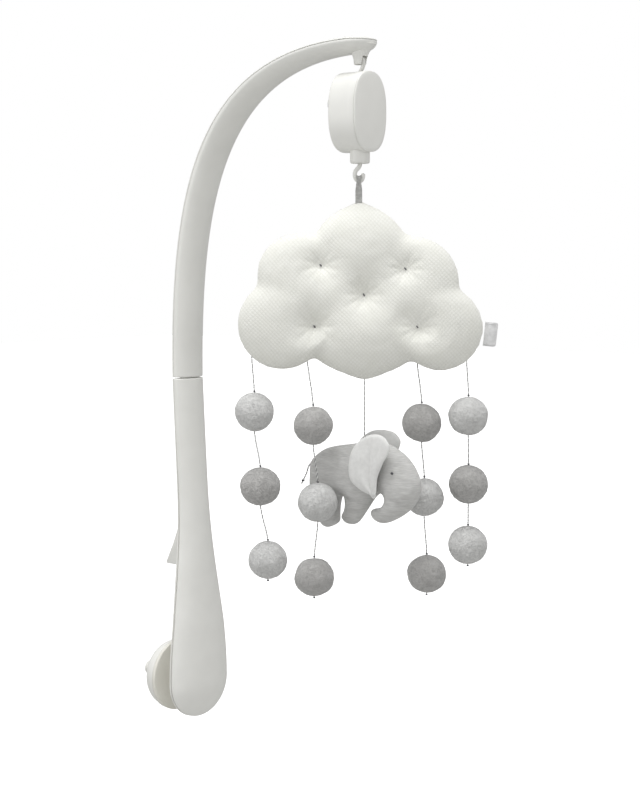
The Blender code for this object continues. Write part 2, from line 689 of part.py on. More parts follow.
def make_drum():
    bore = 0.00125 + GAP
    drum = turned("pinned_cylinder", [(0.0060, 0.0125), (0.0060, 0.0), (bore, 0.0), (bore, 0.0125)],
                  "z", (AXIS_X, 0, 0.3912), 20)
    pins = bmesh.new()
    for i in range(18):
        angle = 2.399963 * i
        level = 0.39175 + 0.0010 * (i * 5 % 12)
        spot = (Matrix.Translation((AXIS_X, 0, level)) @ Matrix.Rotation(angle, 4, "Z")
                @ Matrix.Translation((0.0061, 0, 0)))
        bmesh.ops.create_cube(pins, size=1.0, matrix=spot @ Matrix.Diagonal((0.0007, 0.0004, 0.0004, 1)))
    join(drum, from_bmesh("cylinder_pins", pins, CUTTERS))
    keep(drum, BRASS)

    facing_fly = math.atan2(FLY_SHAFT[1], FLY_SHAFT[0] - AXIS_X)
    radius = DRUM_TEETH * TOOTH_MODULE / 2
    ring = gear_z("drum_gear", (AXIS_X, 0), DRUM_GEAR_Z, DRUM_GEAR_Z + 0.0016, DRUM_TEETH,
                  radius - 0.0007, radius + 0.0004, facing_fly)
    cut(ring, rod("drum_gear_bore", "z", (AXIS_X, 0, 0.400), 0.010, bore, sides=14, collection=CUTTERS))
    keep(ring, BRASS)

    pinion = gear_z("drive_pinion", (AXIS_X, 0), 0.4100, 0.4142, PINION_TEETH,
                    PINION_RADIUS - 0.0009, PINION_RADIUS + 0.0004, math.pi, 0.34)
    cut(pinion, rod("pinion_bore", "z", (AXIS_X, 0, 0.408), 0.010, bore, sides=14, collection=CUTTERS))
    keep(pinion, BRASS)
    keep(rod("output_shaft", "z", (AXIS_X, 0, 0.3738), 0.0412, 0.00125, sides=14), STEEL)
    bush = [(0.0030, 0.0080), (0.0030, 0.0), (bore, 0.0), (bore, 0.0080)]
    keep(turned("output_bush", bush, "z", (AXIS_X, 0, 0.3745), 18), BRASS)


def make_governor():
    x, y = FLY_SHAFT
    facing_drum = math.atan2(-y, AXIS_X - x)
    radius = FLY_TEETH * TOOTH_MODULE / 2
    wheel = rod("governor_wheel", "z", (x, y, 0.3863), 0.0268, 0.0008, sides=10)
    pinion = gear_z("fly_pinion", FLY_SHAFT, DRUM_GEAR_Z - 0.0002, DRUM_GEAR_Z + 0.0018, FLY_TEETH,
                    radius - 0.0007, radius + 0.0004, facing_drum + math.pi / FLY_TEETH, collection=CUTTERS)
    worm_wheel = gear_z("worm_wheel", FLY_SHAFT, WORM_Z - 0.0005, WORM_Z + 0.0005, WORM_WHEEL_TEETH,
                        WORM_WHEEL_RADIUS - 0.0007, WORM_WHEEL_RADIUS + 0.0004, -math.pi / 2,
                        0.30, CUTTERS)
    join(wheel, pinion, worm_wheel)
    keep(wheel, BRASS)

    pitch = math.tau * WORM_WHEEL_RADIUS / WORM_WHEEL_TEETH
    turns = 3
    start = x - turns * pitch / 2
    sides = 12
    core, crest = 0.00085, 0.00180
    bm = bmesh.new()
    rows = []
    for i in range(turns * sides + 1):
        angle = math.tau * i / sides
        base = start + pitch * i / sides
        row = []
        for radius_here, shift in ((core, -0.50), (core, -0.20), (crest, -0.13), (crest, 0.13), (core, 0.20),
                                   (core, 0.50)):
            row.append(bm.verts.new((base + shift * pitch, WORM_Y + radius_here * math.cos(angle),
                                     WORM_Z + radius_here * math.sin(angle))))
        rows.append(row)
    for low, high in zip(rows, rows[1:]):
        for a, b, c, d in zip(low, low[1:], high[1:], high):
            bm.faces.new((a, b, c, d))
    bmesh.ops.remove_doubles(bm, verts=bm.verts[:], dist=0.000005)
    bmesh.ops.holes_fill(bm, edges=[e for e in bm.edges if e.is_boundary], sides=0)
    bmesh.ops.triangulate(bm, faces=[f for f in bm.faces if len(f.verts) > 4])
    worm = from_bmesh("worm_shaft", bm)
    join(worm, rod("worm_ends", "x", (x - 0.0062, WORM_Y, WORM_Z), 0.0122, 0.0005, sides=8, collection=CUTTERS))
    keep(worm, STEEL)

    fan = box("air_brake_fan", (x + 0.0044, WORM_Y - 0.0032, WORM_Z - 0.0004),
              (x + 0.0062, WORM_Y + 0.0032, WORM_Z + 0.0004))
    join(fan, rod("fan_hub", "x", (x + 0.0044, WORM_Y, WORM_Z), 0.0018, 0.0011, sides=10, collection=CUTTERS))
    cut(fan, rod("fan_bore", "x", (x + 0.0040, WORM_Y, WORM_Z), 0.0030, 0.0005 + GAP, sides=8,
                 collection=CUTTERS))
    keep(fan, STEEL)

    sheet = 0.0006
    low, high = 0.4093, WORM_Z + 0.0015
    left, right = x - 0.0056, x + 0.0041
    side = [(left, low), (right, low), (right, high), (right - sheet, high), (right - sheet, low + sheet),
            (left + sheet, low + sheet), (left + sheet, high), (left, high)]
    rings = [[(along, WORM_Y + y, z) for along, z in side] for y in (-0.0014, 0.0012)]
    bracket = loft("governor_bracket", rings)
    cut(bracket, rod("worm_bearing", "x", (x - 0.008, WORM_Y, WORM_Z), 0.016, 0.0005 + GAP, sides=10,
                     collection=CUTTERS))
    keep(bracket, STEEL)


# ---- what hangs below the box: local x runs along the cloud, local y away from its front ---------------
HANG = Matrix.Translation((AXIS_X, 0, 0)) @ Matrix.Rotation(CLOUD_TURN, 4, "Z")


def hang(obj):
    obj.data.transform(HANG)
    return obj


def make_output_hook():
    route = smooth_route([(0, 0, 0.3733), (0, 0, 0.3706), (-0.0012, 0, 0.3681), (-0.0036, 0, 0.3653),
                          (-0.0043, 0, 0.3621), (-0.0034, 0, 0.3588), (-0.0009, 0, HOOK_LOW_Z),
                          (0.0016, 0, 0.3578), (0.0026, 0, 0.3605), (0.0026, 0, 0.3634)], 3)
    keep(hang(wire("output_hook", route, HOOK_WIRE)), PLASTIC)

    half = 0.0004
    bend = HOOK_WIRE + GAP + half
    seat = HOOK_LOW_Z + 0.0017
    low = CLOUD_CENTRE_Z + cloud_radius(math.pi / 2) + GAP
    narrow, wide = 0.0013, 0.0027
    steps = 8
    front = [Vector((-0.0009, -bend, blend(low, seat, share))) for share in (0.0, 0.45, 0.85)]
    over = [Vector((-0.0009, -bend * math.cos(math.pi * i / steps), seat + bend * math.sin(math.pi * i / steps)))
            for i in range(steps + 1)]
    rear = [Vector((-0.0009, bend, place.z)) for place in reversed(front)]
    widths = [wide, wide, narrow] + [narrow] * len(over) + [narrow, wide, wide]
    loop = strip("hanging_loop", front + over + rear, (1, 0, 0), widths, half)
    keep(hang(loop), TAPE)


CLOUD_LOBES = (                 # along, height above the rail hook, radius
    (0.0000, 0.2951, 0.0411),
    (-0.0516, 0.2766, 0.0368),
    (0.0457, 0.2702, 0.0399),
    (-0.0670, 0.2341, 0.0386),
    (0.0698, 0.2311, 0.0364),
    (0.0041, 0.2559, 0.0658),
)


def cloud_radius(angle):
    """Distance from the cloud's centre to its outline: a soft maximum over the lobes."""
    c, s = math.cos(angle), math.sin(angle)
    total = 0.0
    for along, height, radius in CLOUD_LOBES:
        up = height - CLOUD_CENTRE_Z
        middle = along * c + up * s
        off = along * s - up * c
        if abs(off) < radius:
            reach = middle + math.sqrt(radius ** 2 - off ** 2)
            total += max(reach, 0.0) ** 40
    return total ** (1 / 40)


def cloud_bottom(along):
    """Height of the cloud's outline below a place along it."""
    low, high = 0.100, CLOUD_CENTRE_Z - 0.002
    for _ in range(40):
        middle = (low + high) / 2
        up = middle - CLOUD_CENTRE_Z
        inside = math.hypot(along, up) < cloud_radius(math.atan2(up, along))
        low, high = (low, middle) if inside else (middle, high)
    return low


def string_top(along):
    """Where a string comes out, just below the cloud's seam on both sides of it."""
    return min(cloud_bottom(along + shift) for shift in (-0.003, 0.0, 0.003)) - 0.0010


def make_cloud():
    count = 44
    shares = (1.0, 0.96, 0.85, 0.65, 0.35)
    rings = []
    for side in (-1, 1):
        ordered = shares[::-1] if side == -1 else shares[1:]
        for share in ordered:
            depth = side * CLOUD_HALF_DEPTH * (1 - share ** 2.6) ** 0.55
            ring = []
            for i in range(count):
                angle = math.tau * i / count
                reach = share * cloud_radius(angle)
                ring.append((reach * math.cos(angle), depth, CLOUD_CENTRE_Z + reach * math.sin(angle)))
            rings.append(ring)
    keep(hang(loft("cloud_cushion", rings)), CLOUD_KNIT, 60)
    label = box("cloud_label", (-0.0055, -0.0008, -0.0100), (0.0055, 0.0008, 0.0100))
    label.data.transform(Matrix.Translation((0.1124, 0, 0.2262)) @ Matrix.Rotation(math.radians(6), 4, "Y"))
    keep(hang(label), LABEL_CLOTH)


# string name: offset towards the front, then its place along the cloud and the balls' centres
STRINGS = (
    ("left", 0.0, -0.0927, ((-0.0908, 0.1587), (-0.0858, 0.0937), (-0.0795, 0.0290)), (0, 1, 0)),
    ("inner_left", -0.005, -0.0444, ((-0.0397, 0.1475), (-0.0358, 0.0807), (-0.0389, 0.0151)), (1, 0, 1)),
    ("inner_right", 0.005, 0.0502, ((0.0540, 0.1491), (0.0566, 0.0842), (0.0591, 0.0164)), (1, 0, 1)),
    ("right", 0.0, 0.0923, ((0.0940, 0.1557), (0.0945, 0.0961), (0.0945, 0.0431)), (0, 1, 0)),
)


def make_strings():
    for name, y, top, balls, dark in STRINGS:
        knots = [Vector((top, y, string_top(top)))]
        for along, z in balls:
            knots += [Vector((along, y, z + BALL_RADIUS)), Vector((along, y, z - BALL_RADIUS))]
        knots.append(knots[-1] - Vector((0, 0, 0.0036)))
        keep(hang(wire(f"string_{name}", smooth_route(knots, 3), TWINE)), TWINE_YARN)
        for number, ((along, z), is_dark) in enumerate(zip(balls, dark), 1):
            edge = math.sqrt(BALL_RADIUS ** 2 - BALL_BORE ** 2)
            start = math.asin(BALL_BORE / BALL_RADIUS)
            profile = [(BALL_BORE, edge)]
            for i in range(1, 7):
                angle = blend(start, math.pi - start, i / 7)
                profile.append((BALL_RADIUS * math.sin(angle), BALL_RADIUS * math.cos(angle)))
            profile.append((BALL_BORE, -edge))
            ball = turned(f"ball_{name}_{number}", profile, "z", (along, y, z), 12)
            keep(hang(ball), FELT_DARK if is_dark else FELT_LIGHT, 60)


# ---- the elephant: local x runs towards its head --------------------------------------------------------
ELEPHANT_ALONG = 0.0045
ELEPHANT_STRING_END = 0.1342
TROT = HANG @ Matrix.Translation((ELEPHANT_ALONG, 0, 0)) @ Matrix.Rotation(-ELEPHANT_TURN, 4, "Z")
BELLY = ((-0.0225, 0.1020), (0.0365, 0.0140, 0.0285))       # centre (x, z) and the three radii
# each limb is a row of (x, z, radius) from inside the body to its rounded end
HEAD_AND_TRUNK = ((-0.002, 0.1080, 0.0200), (0.010, 0.1085, 0.0255), (0.024, 0.1085, 0.0250),
                  (0.0365, 0.1005, 0.0213), (0.0410, 0.0890, 0.0162), (0.0355, 0.0795, 0.0125),
                  (0.0270, 0.0735, 0.0092), (0.0190, 0.0707, 0.0068), (0.0130, 0.0708, 0.0056),
                  (0.0098, 0.0715, 0.0028))
FRONT_LEG = ((-0.001, 0.0960, 0.0170), (-0.0055, 0.0820, 0.0125), (-0.0110, 0.0720, 0.0108),
             (-0.0138, 0.0655, 0.0090), (-0.0150, 0.0615, 0.0045))
HIND_LEG = ((-0.041, 0.0920, 0.0160), (-0.0425, 0.0770, 0.0125), (-0.0405, 0.0665, 0.0108),
            (-0.0390, 0.0600, 0.0090), (-0.0378, 0.0560, 0.0045))
LIMB_HALF_DEPTH = 0.0125
EAR_OUTLINE = ((0.0243, 0.1426), (0.0145, 0.1405), (0.0038, 0.1335), (-0.0022, 0.1240), (-0.0045, 0.1115),
               (-0.0025, 0.1010), (0.0056, 0.0945), (0.0160, 0.0905), (0.0220, 0.0871), (0.0255, 0.0910),
               (0.0265, 0.0985), (0.0285, 0.1070), (0.0350, 0.1180), (0.0412, 0.1275), (0.0425, 0.1345),
               (0.0375, 0.1402), (0.0310, 0.1423))
FAR_EAR_SHIFT = -0.0195          # the far ear sits this far behind the near one
EAR_THICK = 0.0020


def egg(name, centre, radii, detail, collection):
    place = Matrix.Translation(Vector(centre)) @ Matrix.Diagonal((*radii, 1.0))
    bm = bmesh.new()
    bmesh.ops.create_uvsphere(bm, u_segments=detail[0], v_segments=detail[1], radius=1.0, matrix=place)
    return from_bmesh(name, bm, collection)


def limb(name, stations, sides=12):
    """A rounded limb through the stations, flattened to the toy's depth."""
    rings = []
    last = len(stations) - 1
    for i, (x, z, radius) in enumerate(stations):
        before = stations[max(i - 1, 0)]
        after = stations[min(i + 1, last)]
        across = Vector((after[1] - before[1], 0, before[0] - after[0])).normalized()
        deep = min(radius, LIMB_HALF_DEPTH)
        ring = []
        for k in range(sides):
            angle = math.tau * k / sides
            ring.append(Vector((x, 0, z)) + across * radius * math.cos(angle)
                        + Vector((0, deep * math.sin(angle), 0)))
        rings.append(ring)
    return loft(name, rings, CUTTERS)


def make_elephant():
    (belly_x, belly_z), radii = BELLY
    body = egg("elephant_body", (belly_x, 0, belly_z), radii, (20, 12), PARTS)
    limbs = (limb("head_and_trunk", HEAD_AND_TRUNK), limb("front_leg", FRONT_LEG),
             limb("hind_leg", HIND_LEG))
    join(body, *limbs)
    for piece in (body, *limbs):
        piece.data.transform(TROT)
    keep(body, GREY_KNIT, 60)

    for side, name, shift in ((-1, "elephant_ear_near", 0.0), (1, "elephant_ear_far", FAR_EAR_SHIFT)):
        rings = []
        for depth in (0.0146, 0.0146 + EAR_THICK):
            rings.append([(x + shift, side * depth, z) for x, z in EAR_OUTLINE])
        ear = loft(name, rings)
        ear.data.transform(TROT)
        keep(ear, EAR_CLOTH)

    tail_route = smooth_route([(-0.0600, 0, 0.1100), (-0.0632, 0, 0.1060), (-0.0655, 0, 0.1000),
                               (-0.0690, 0, 0.0940), (-0.0712, 0, 0.0900)], 3)
    tail = wire("elephant_tail", tail_route, TWINE)
    tail.data.transform(TROT)
    keep(tail, TWINE_YARN)

    top = Vector((ELEPHANT_ALONG, 0, string_top(ELEPHANT_ALONG)))
    low = Vector((ELEPHANT_ALONG, 0, ELEPHANT_STRING_END))
    route = [top + (low - top) * i / 8 for i in range(9)]
    keep(hang(wire("string_elephant", route, TWINE)), TWINE_YARN)


# ---- a moving piece has its origin on its joint's axis ---------------------------------------------------
def set_origin(place, *names):
    for name in names:
        obj = bpy.data.objects[name]
        obj.data.transform(Matrix.Translation(-place))
        obj.location = place


def set_origins():
    on_axis = Vector((AXIS_X, 0, BAR_Z))
    set_origin(Vector((PAD_FACE_X, 0, FOOT_Z)), "clamp_pad", "clamp_knob")
    set_origin(on_axis, "box_body", "box_front_cover", "box_hook", "box_screw_1", "box_screw_2", "box_screw_3",
               "mainspring_housing", "mainspring", "movement_frame", "comb", "comb_screw_1", "comb_screw_2",
               "governor_bracket", "output_bush")
    set_origin(on_axis, "pinned_cylinder", "drum_gear", "drive_pinion", "output_shaft", "output_hook")
    set_origin(Vector((BOX_BACK_X, 0, KEY_Z)), "winding_key", "winding_arbor", "main_gear")
    set_origin(Vector((*FLY_SHAFT, WORM_Z)), "governor_wheel")
    set_origin(Vector((FLY_SHAFT[0], WORM_Y, WORM_Z)), "worm_shaft", "air_brake_fan")
    set_origin(HANG @ Vector((-0.0009, 0, HOOK_LOW_Z)), "hanging_loop", "cloud_cushion", "cloud_label",
               "string_elephant")
    set_origin(HANG @ Vector((ELEPHANT_ALONG, 0, ELEPHANT_STRING_END)), "elephant_body", "elephant_ear_near",
               "elephant_ear_far", "elephant_tail")
    for name, y, top, balls, _ in STRINGS:
        pieces = [f"ball_{name}_{number}" for number in range(1, len(balls) + 1)]
        set_origin(HANG @ Vector((top, y, string_top(top))), f"string_{name}", *pieces)


make_post()
make_arm()
make_clamp()
make_box()
make_winding()
make_spring()
make_frame()
make_comb()
make_drum()
make_governor()
make_output_hook()
make_cloud()
make_strings()
make_elephant()
set_origins()
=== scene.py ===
"""The looks of the crib mobile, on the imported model.

Metres, in the row frame: the origin is the middle of the rail hook's underside, +X points over the
crib and +Z is up.  The cloud and what hangs from it are placed in local coordinates: along the cloud,
away from its front, and up.
"""
import json
import math
import random

import bmesh
import bpy
import numpy as np
from mathutils import Matrix, Vector, noise
from mathutils.geometry import delaunay_2d_cdt


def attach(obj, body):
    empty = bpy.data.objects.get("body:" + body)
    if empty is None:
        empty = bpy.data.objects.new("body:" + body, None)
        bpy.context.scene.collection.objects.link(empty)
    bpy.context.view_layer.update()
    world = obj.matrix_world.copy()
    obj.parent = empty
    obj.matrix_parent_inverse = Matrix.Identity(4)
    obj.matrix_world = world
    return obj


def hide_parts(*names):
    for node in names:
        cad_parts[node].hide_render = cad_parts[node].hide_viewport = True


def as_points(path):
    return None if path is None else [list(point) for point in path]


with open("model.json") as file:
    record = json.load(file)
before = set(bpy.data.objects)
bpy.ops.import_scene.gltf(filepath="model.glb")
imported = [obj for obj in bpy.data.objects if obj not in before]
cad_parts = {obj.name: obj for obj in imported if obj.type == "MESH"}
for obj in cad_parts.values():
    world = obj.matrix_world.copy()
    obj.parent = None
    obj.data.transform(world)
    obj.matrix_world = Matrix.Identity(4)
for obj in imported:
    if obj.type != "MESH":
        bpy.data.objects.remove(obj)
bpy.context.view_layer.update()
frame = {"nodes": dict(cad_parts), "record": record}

# ---- sizes shared with the CAD model ------------------------------------------------------------------
JOINT_Z = 0.179
JOINT_GAP = 0.0012
NECK_HALF = 0.0177
NECK_SIDE = 0.0062
NECK_CROWN = 0.0086
COVER = 0.0026
FOOT_Z = -0.110
FOOT_RADIUS = 0.0362
FOOT_SIDE = 0.0040
FOOT_CROWN = 0.0165
NECK_BACK_X = 0.0
FOOT_BACK_X = 0.0115
LEAN_END_Z = -0.055
WIDEN_TOP = 0.085
LEDGE_TIP_X = -0.0150
LEDGE_TOP_Z = 0.064
LEDGE_HALF = 0.012
PAD_FACE_X = -0.0089
PAD_RADIUS = 0.0343
PAD_THICK = 0.0036
KNOB_THICK = 0.0165
KNOB_RIM = 0.0305
BOLT_RADIUS = 0.0067
BOLT_END_X = -0.0520
ARM_HANDLE_LOW = (-0.0010, 0.328)
ARM_HANDLE_TOP = (0.0205, 0.4862)
ARM_TIP = (0.2257, 0.4783)
AXIS_X = 0.2122
BAR_Z = 0.4587
BOX_MID_Z = 0.41475
BOX_HALF_Y = 0.0220
BOX_HALF_Z = 0.03375
BOX_BACK_X = 0.1940
BOX_SEAM_X = 0.2222
BOX_FRONT_X = 0.2250
BOX_WALL = 0.0020
COLLAR_RADIUS = 0.0085
COLLAR_BOTTOM_Z = 0.3715
KEY_Z = 0.424
CLOUD_TURN = math.radians(38.57)
CLOUD_HALF_DEPTH = 0.027
CLOUD_CENTRE_Z = 0.254
HOOK_WIRE = 0.00185
HOOK_LOW_Z = 0.3566
BALL_RADIUS = 0.0171
TWINE = 0.00065
ELEPHANT_TURN = math.radians(38.0)
ELEPHANT_ALONG = 0.0045
ELEPHANT_STRING_END = 0.1342

HANG = Matrix.Translation((AXIS_X, 0, 0)) @ Matrix.Rotation(CLOUD_TURN, 4, "Z")
TROT = HANG @ Matrix.Translation((ELEPHANT_ALONG, 0, 0)) @ Matrix.Rotation(-ELEPHANT_TURN, 4, "Z")


# ---- camera, light and floor --------------------------------------------------------------------------
VIEW_TURN = math.radians(40.0)
VIEW_DOWN = math.radians(5.2)
VIEW_RIGHT = Vector((math.cos(VIEW_TURN), math.sin(VIEW_TURN), 0))
VIEW_AHEAD = Vector((-math.sin(VIEW_TURN) * math.cos(VIEW_DOWN), math.cos(VIEW_TURN) * math.cos(VIEW_DOWN),
                     -math.sin(VIEW_DOWN)))
SUBJECT = Vector((0.14, 0.0, 0.20))


def make_camera():
    data = bpy.data.cameras.new("camera")
    data.sensor_width = 36.0
    data.lens = 71.28
    camera = bpy.data.objects.new("camera", data)
    bpy.context.scene.collection.objects.link(camera)
    up = VIEW_RIGHT.cross(VIEW_AHEAD)
    camera.matrix_world = Matrix((VIEW_RIGHT, up, -VIEW_AHEAD)).transposed().to_4x4()
    camera.location = (1.06136, -1.06489, 0.29326)
    bpy.context.scene.camera = camera


def softbox(name, place, size, watts):
    """A square area light aimed at the middle of the object."""
    data = bpy.data.lights.new(name, "AREA")
    data.shape = "SQUARE"
    data.size = size
    data.energy = watts
    lamp = bpy.data.objects.new(name, data)
    bpy.context.scene.collection.objects.link(lamp)
    lamp.location = place
    lamp.rotation_euler = (SUBJECT - place).to_track_quat("-Z", "Y").to_euler()


def make_studio():
    up = Vector((0, 0, 1))
    softbox("key", SUBJECT - VIEW_RIGHT * 0.10 - VIEW_AHEAD * 0.50 + up * 1.80, 0.7, 20.5)
    softbox("side", SUBJECT - VIEW_RIGHT * 1.60 - VIEW_AHEAD * 0.70 + up * 0.5, 1.0, 6.0)
    softbox("fill", SUBJECT + VIEW_RIGHT * 1.0 - VIEW_AHEAD * 1.7 + up * 0.3, 1.2, 4.0)
    world = bpy.data.worlds.new("studio")
    world.use_nodes = True
    tree = world.node_tree
    seen = add(tree, "ShaderNodeLightPath").outputs["Is Camera Ray"]
    lit = tree.nodes["Background"]
    lit.inputs["Color"].default_value = (1.0, 1.0, 1.0, 1.0)
    lit.inputs["Strength"].default_value = 0.63
    white = add(tree, "ShaderNodeBackground", {"Color": (1.0, 1.0, 1.0, 1.0), "Strength": 1.0})
    mix = add(tree, "ShaderNodeMixShader", {"Fac": seen})
    tree.links.new(lit.outputs[0], mix.inputs[1])
    tree.links.new(white.outputs[0], mix.inputs[2])
    tree.links.new(mix.outputs[0], tree.nodes["World Output"].inputs["Surface"])
    bpy.context.scene.world = world
    bpy.context.scene.view_settings.view_transform = "Standard"


def make_floor():
    size = 12.0
    level = -0.62
    bm = bmesh.new()
    bmesh.ops.create_grid(bm, x_segments=2, y_segments=2, size=size)
    mesh = bpy.data.meshes.new("floor")
    bm.to_mesh(mesh)
    bm.free()
    floor = bpy.data.objects.new("floor", mesh)
    floor.location.z = level
    bpy.context.scene.collection.objects.link(floor)
    floor.data.materials.append(FLOOR)


# ---- material nodes -----------------------------------------------------------------------------------
def add(tree, kind, inputs=None, **settings):
    """A new node with its settings, and its inputs as values or links."""
    made = tree.nodes.new(kind)
    for name, value in settings.items():
        setattr(made, name, value)
    for name, value in (inputs or {}).items():
        socket = made.inputs[name]
        if isinstance(value, bpy.types.NodeSocket):
            tree.links.new(value, socket)
        else:
            socket.default_value = value
    return made


def maths(tree, operation, a, b=0.0, c=0.0):
    made = add(tree, "ShaderNodeMath", operation=operation)
    for socket, value in zip(made.inputs, (a, b, c)):
        if isinstance(value, bpy.types.NodeSocket):
            tree.links.new(value, socket)
        else:
            socket.default_value = value
    return made.outputs[0]


def tint(tree, share, low, high):
    """A colour between low and high."""
    made = add(tree, "ShaderNodeMix", data_type="RGBA", clamp_factor=True)
    tree.links.new(share, made.inputs[0])
    for socket, colour in ((made.inputs[6], low), (made.inputs[7], high)):
        if isinstance(colour, bpy.types.NodeSocket):
            tree.links.new(colour, socket)
        else:
            socket.default_value = (*colour, 1.0)
    return made.outputs[2]


def start_material(name, rough, metal=0.0, sheen=0.0, turn=0.0):
    """A material, its shader and coordinates in the row frame, turned about Z."""
    mat = bpy.data.materials.new(name)
    mat.use_nodes = True
    tree = mat.node_tree
    shader = tree.nodes["Principled BSDF"]
    shader.inputs["Roughness"].default_value = rough
    shader.inputs["Metallic"].default_value = metal
    shader.inputs["Sheen Weight"].default_value = sheen
    shader.inputs["Sheen Roughness"].default_value = 0.6
    where = add(tree, "ShaderNodeTexCoord").outputs["Object"]
    if turn:
        where = add(tree, "ShaderNodeMapping", {"Vector": where, "Rotation": (0, 0, -turn)}).outputs[0]
    return mat, tree, shader, where


def speckle(tree, where, scale, detail=2.0, kind="FBM", stretch=None, twist=0.0):
    if stretch:
        where = add(tree, "ShaderNodeMapping", {"Vector": where, "Scale": stretch}).outputs[0]
    return add(tree, "ShaderNodeTexNoise", {"Vector": where, "Scale": scale, "Detail": detail, "Distortion": twist},
               noise_type=kind).outputs[0]


def spread(tree, value, low, high):
    """Value moved from low..high to 0..1."""
    return add(tree, "ShaderNodeMapRange", {"Value": value, "From Min": low, "From Max": high}).outputs[0]


def relief(tree, shader, height, distance, before=None, strength=1.0):
    bump = add(tree, "ShaderNodeBump", {"Height": height, "Distance": distance, "Strength": strength})
    if before:
        tree.links.new(before, bump.inputs["Normal"])
    tree.links.new(bump.outputs[0], shader.inputs["Normal"])
    return bump.outputs[0]


def plastic(name, low, high, rough):
    """Moulded plastic: a fine spark-eroded skin and a slight cloudiness."""
    mat, tree, shader, where = start_material(name, rough)
    cloudy = spread(tree, speckle(tree, where, 35.0), 0.35, 0.65)
    tree.links.new(tint(tree, cloudy, low, high), shader.inputs["Base Color"])
    grain = speckle(tree, where, 2600.0, 1.0)
    uneven = maths(tree, "MULTIPLY_ADD", cloudy, 0.05, rough - 0.03)
    tree.links.new(uneven, shader.inputs["Roughness"])
    relief(tree, shader, grain, 0.00002)
    return mat


def metal(name, low, high, rough):
    """Drawn or turned metal: fine lines and small differences of colour."""
    mat, tree, shader, where = start_material(name, rough, metal=1.0)
    lines = speckle(tree, where, 900.0, 2.0, stretch=(1.0, 1.0, 0.08))
    tree.links.new(tint(tree, spread(tree, lines, 0.3, 0.7), low, high), shader.inputs["Base Color"])
    relief(tree, shader, lines, 0.00001)
    return mat


def quilted_knit():
    """Cream matelasse: a fine diagonal grid of stitched lines with soft lozenges between them, the grooves darkened
    with painted shade.
    """
    pitch = 0.0036
    mat, tree, shader, where = start_material("cloud_knit", 0.95, sheen=0.25, turn=CLOUD_TURN)
    wobble = add(tree, "ShaderNodeTexNoise", {"Vector": where, "Scale": 45.0, "Detail": 1.0}).outputs["Color"]
    shift = add(tree, "ShaderNodeVectorMath", {0: wobble, 1: (0.5, 0.5, 0.5)}, operation="SUBTRACT").outputs[0]
    moved = add(tree, "ShaderNodeVectorMath", {0: shift, 1: (0.0040, 0.0040, 0.0040), 2: where},
                operation="MULTIPLY_ADD").outputs[0]
    split = add(tree, "ShaderNodeSeparateXYZ", {"Vector": moved})
    along, up = split.outputs["X"], split.outputs["Z"]
    puff = None
    for slant in ("ADD", "SUBTRACT"):
        line = maths(tree, slant, along, up)
        wave = maths(tree, "ABSOLUTE", maths(tree, "SINE", maths(tree, "MULTIPLY", line, math.pi / pitch)))
        soft = maths(tree, "POWER", wave, 0.6)
        puff = soft if puff is None else maths(tree, "MULTIPLY", puff, soft)
    yarn = speckle(tree, where, 1500.0, 3.0, twist=0.6)
    patchy = spread(tree, speckle(tree, where, 90.0, 3.0), 0.3, 0.7)
    plain = tint(tree, patchy, (0.830, 0.830, 0.775), (0.865, 0.865, 0.820))
    # painted shade: where puff is low, in the stitched grooves, the colour goes down to the darker (0.790, 0.790,
    # 0.730)
    tree.links.new(tint(tree, spread(tree, puff, 0.0, 0.8), (0.790, 0.790, 0.730), plain),
                   shader.inputs["Base Color"])
    fine = relief(tree, shader, yarn, 0.00012)
    relief(tree, shader, puff, 0.00017, fine)
    return mat


def felt(name, low, high):
    """Felted wool: curled fibres over a soft matt body."""
    mat, tree, shader, where = start_material(name, 1.0, sheen=0.45)
    warped = add(tree, "ShaderNodeTexNoise", {"Vector": where, "Scale": 150.0, "Detail": 2.0}).outputs["Color"]
    pushed = add(tree, "ShaderNodeVectorMath", {0: warped, 1: (0.009, 0.009, 0.009), 2: where},
                 operation="MULTIPLY_ADD").outputs[0]
    bands = speckle(tree, pushed, 230.0, 2.0, stretch=(0.75, 0.75, 1.5))
    curls = maths(tree, "ABSOLUTE", maths(tree, "SINE", maths(tree, "MULTIPLY", bands, 21.0)))
    curls = maths(tree, "POWER", curls, 0.5)
    fibres = speckle(tree, where, 1300.0, 3.0, twist=2.5)
    patchy = speckle(tree, where, 110.0, 2.0)
    mixed = maths(tree, "MULTIPLY_ADD", curls, 0.34, maths(tree, "MULTIPLY", fibres, 0.45))
    mixed = maths(tree, "MULTIPLY_ADD", patchy, 0.35, mixed)
    tree.links.new(tint(tree, spread(tree, mixed, 0.38, 0.86), low, high), shader.inputs["Base Color"])
    fine = relief(tree, shader, fibres, 0.00030)
    relief(tree, shader, curls, 0.00032, fine)
    return mat


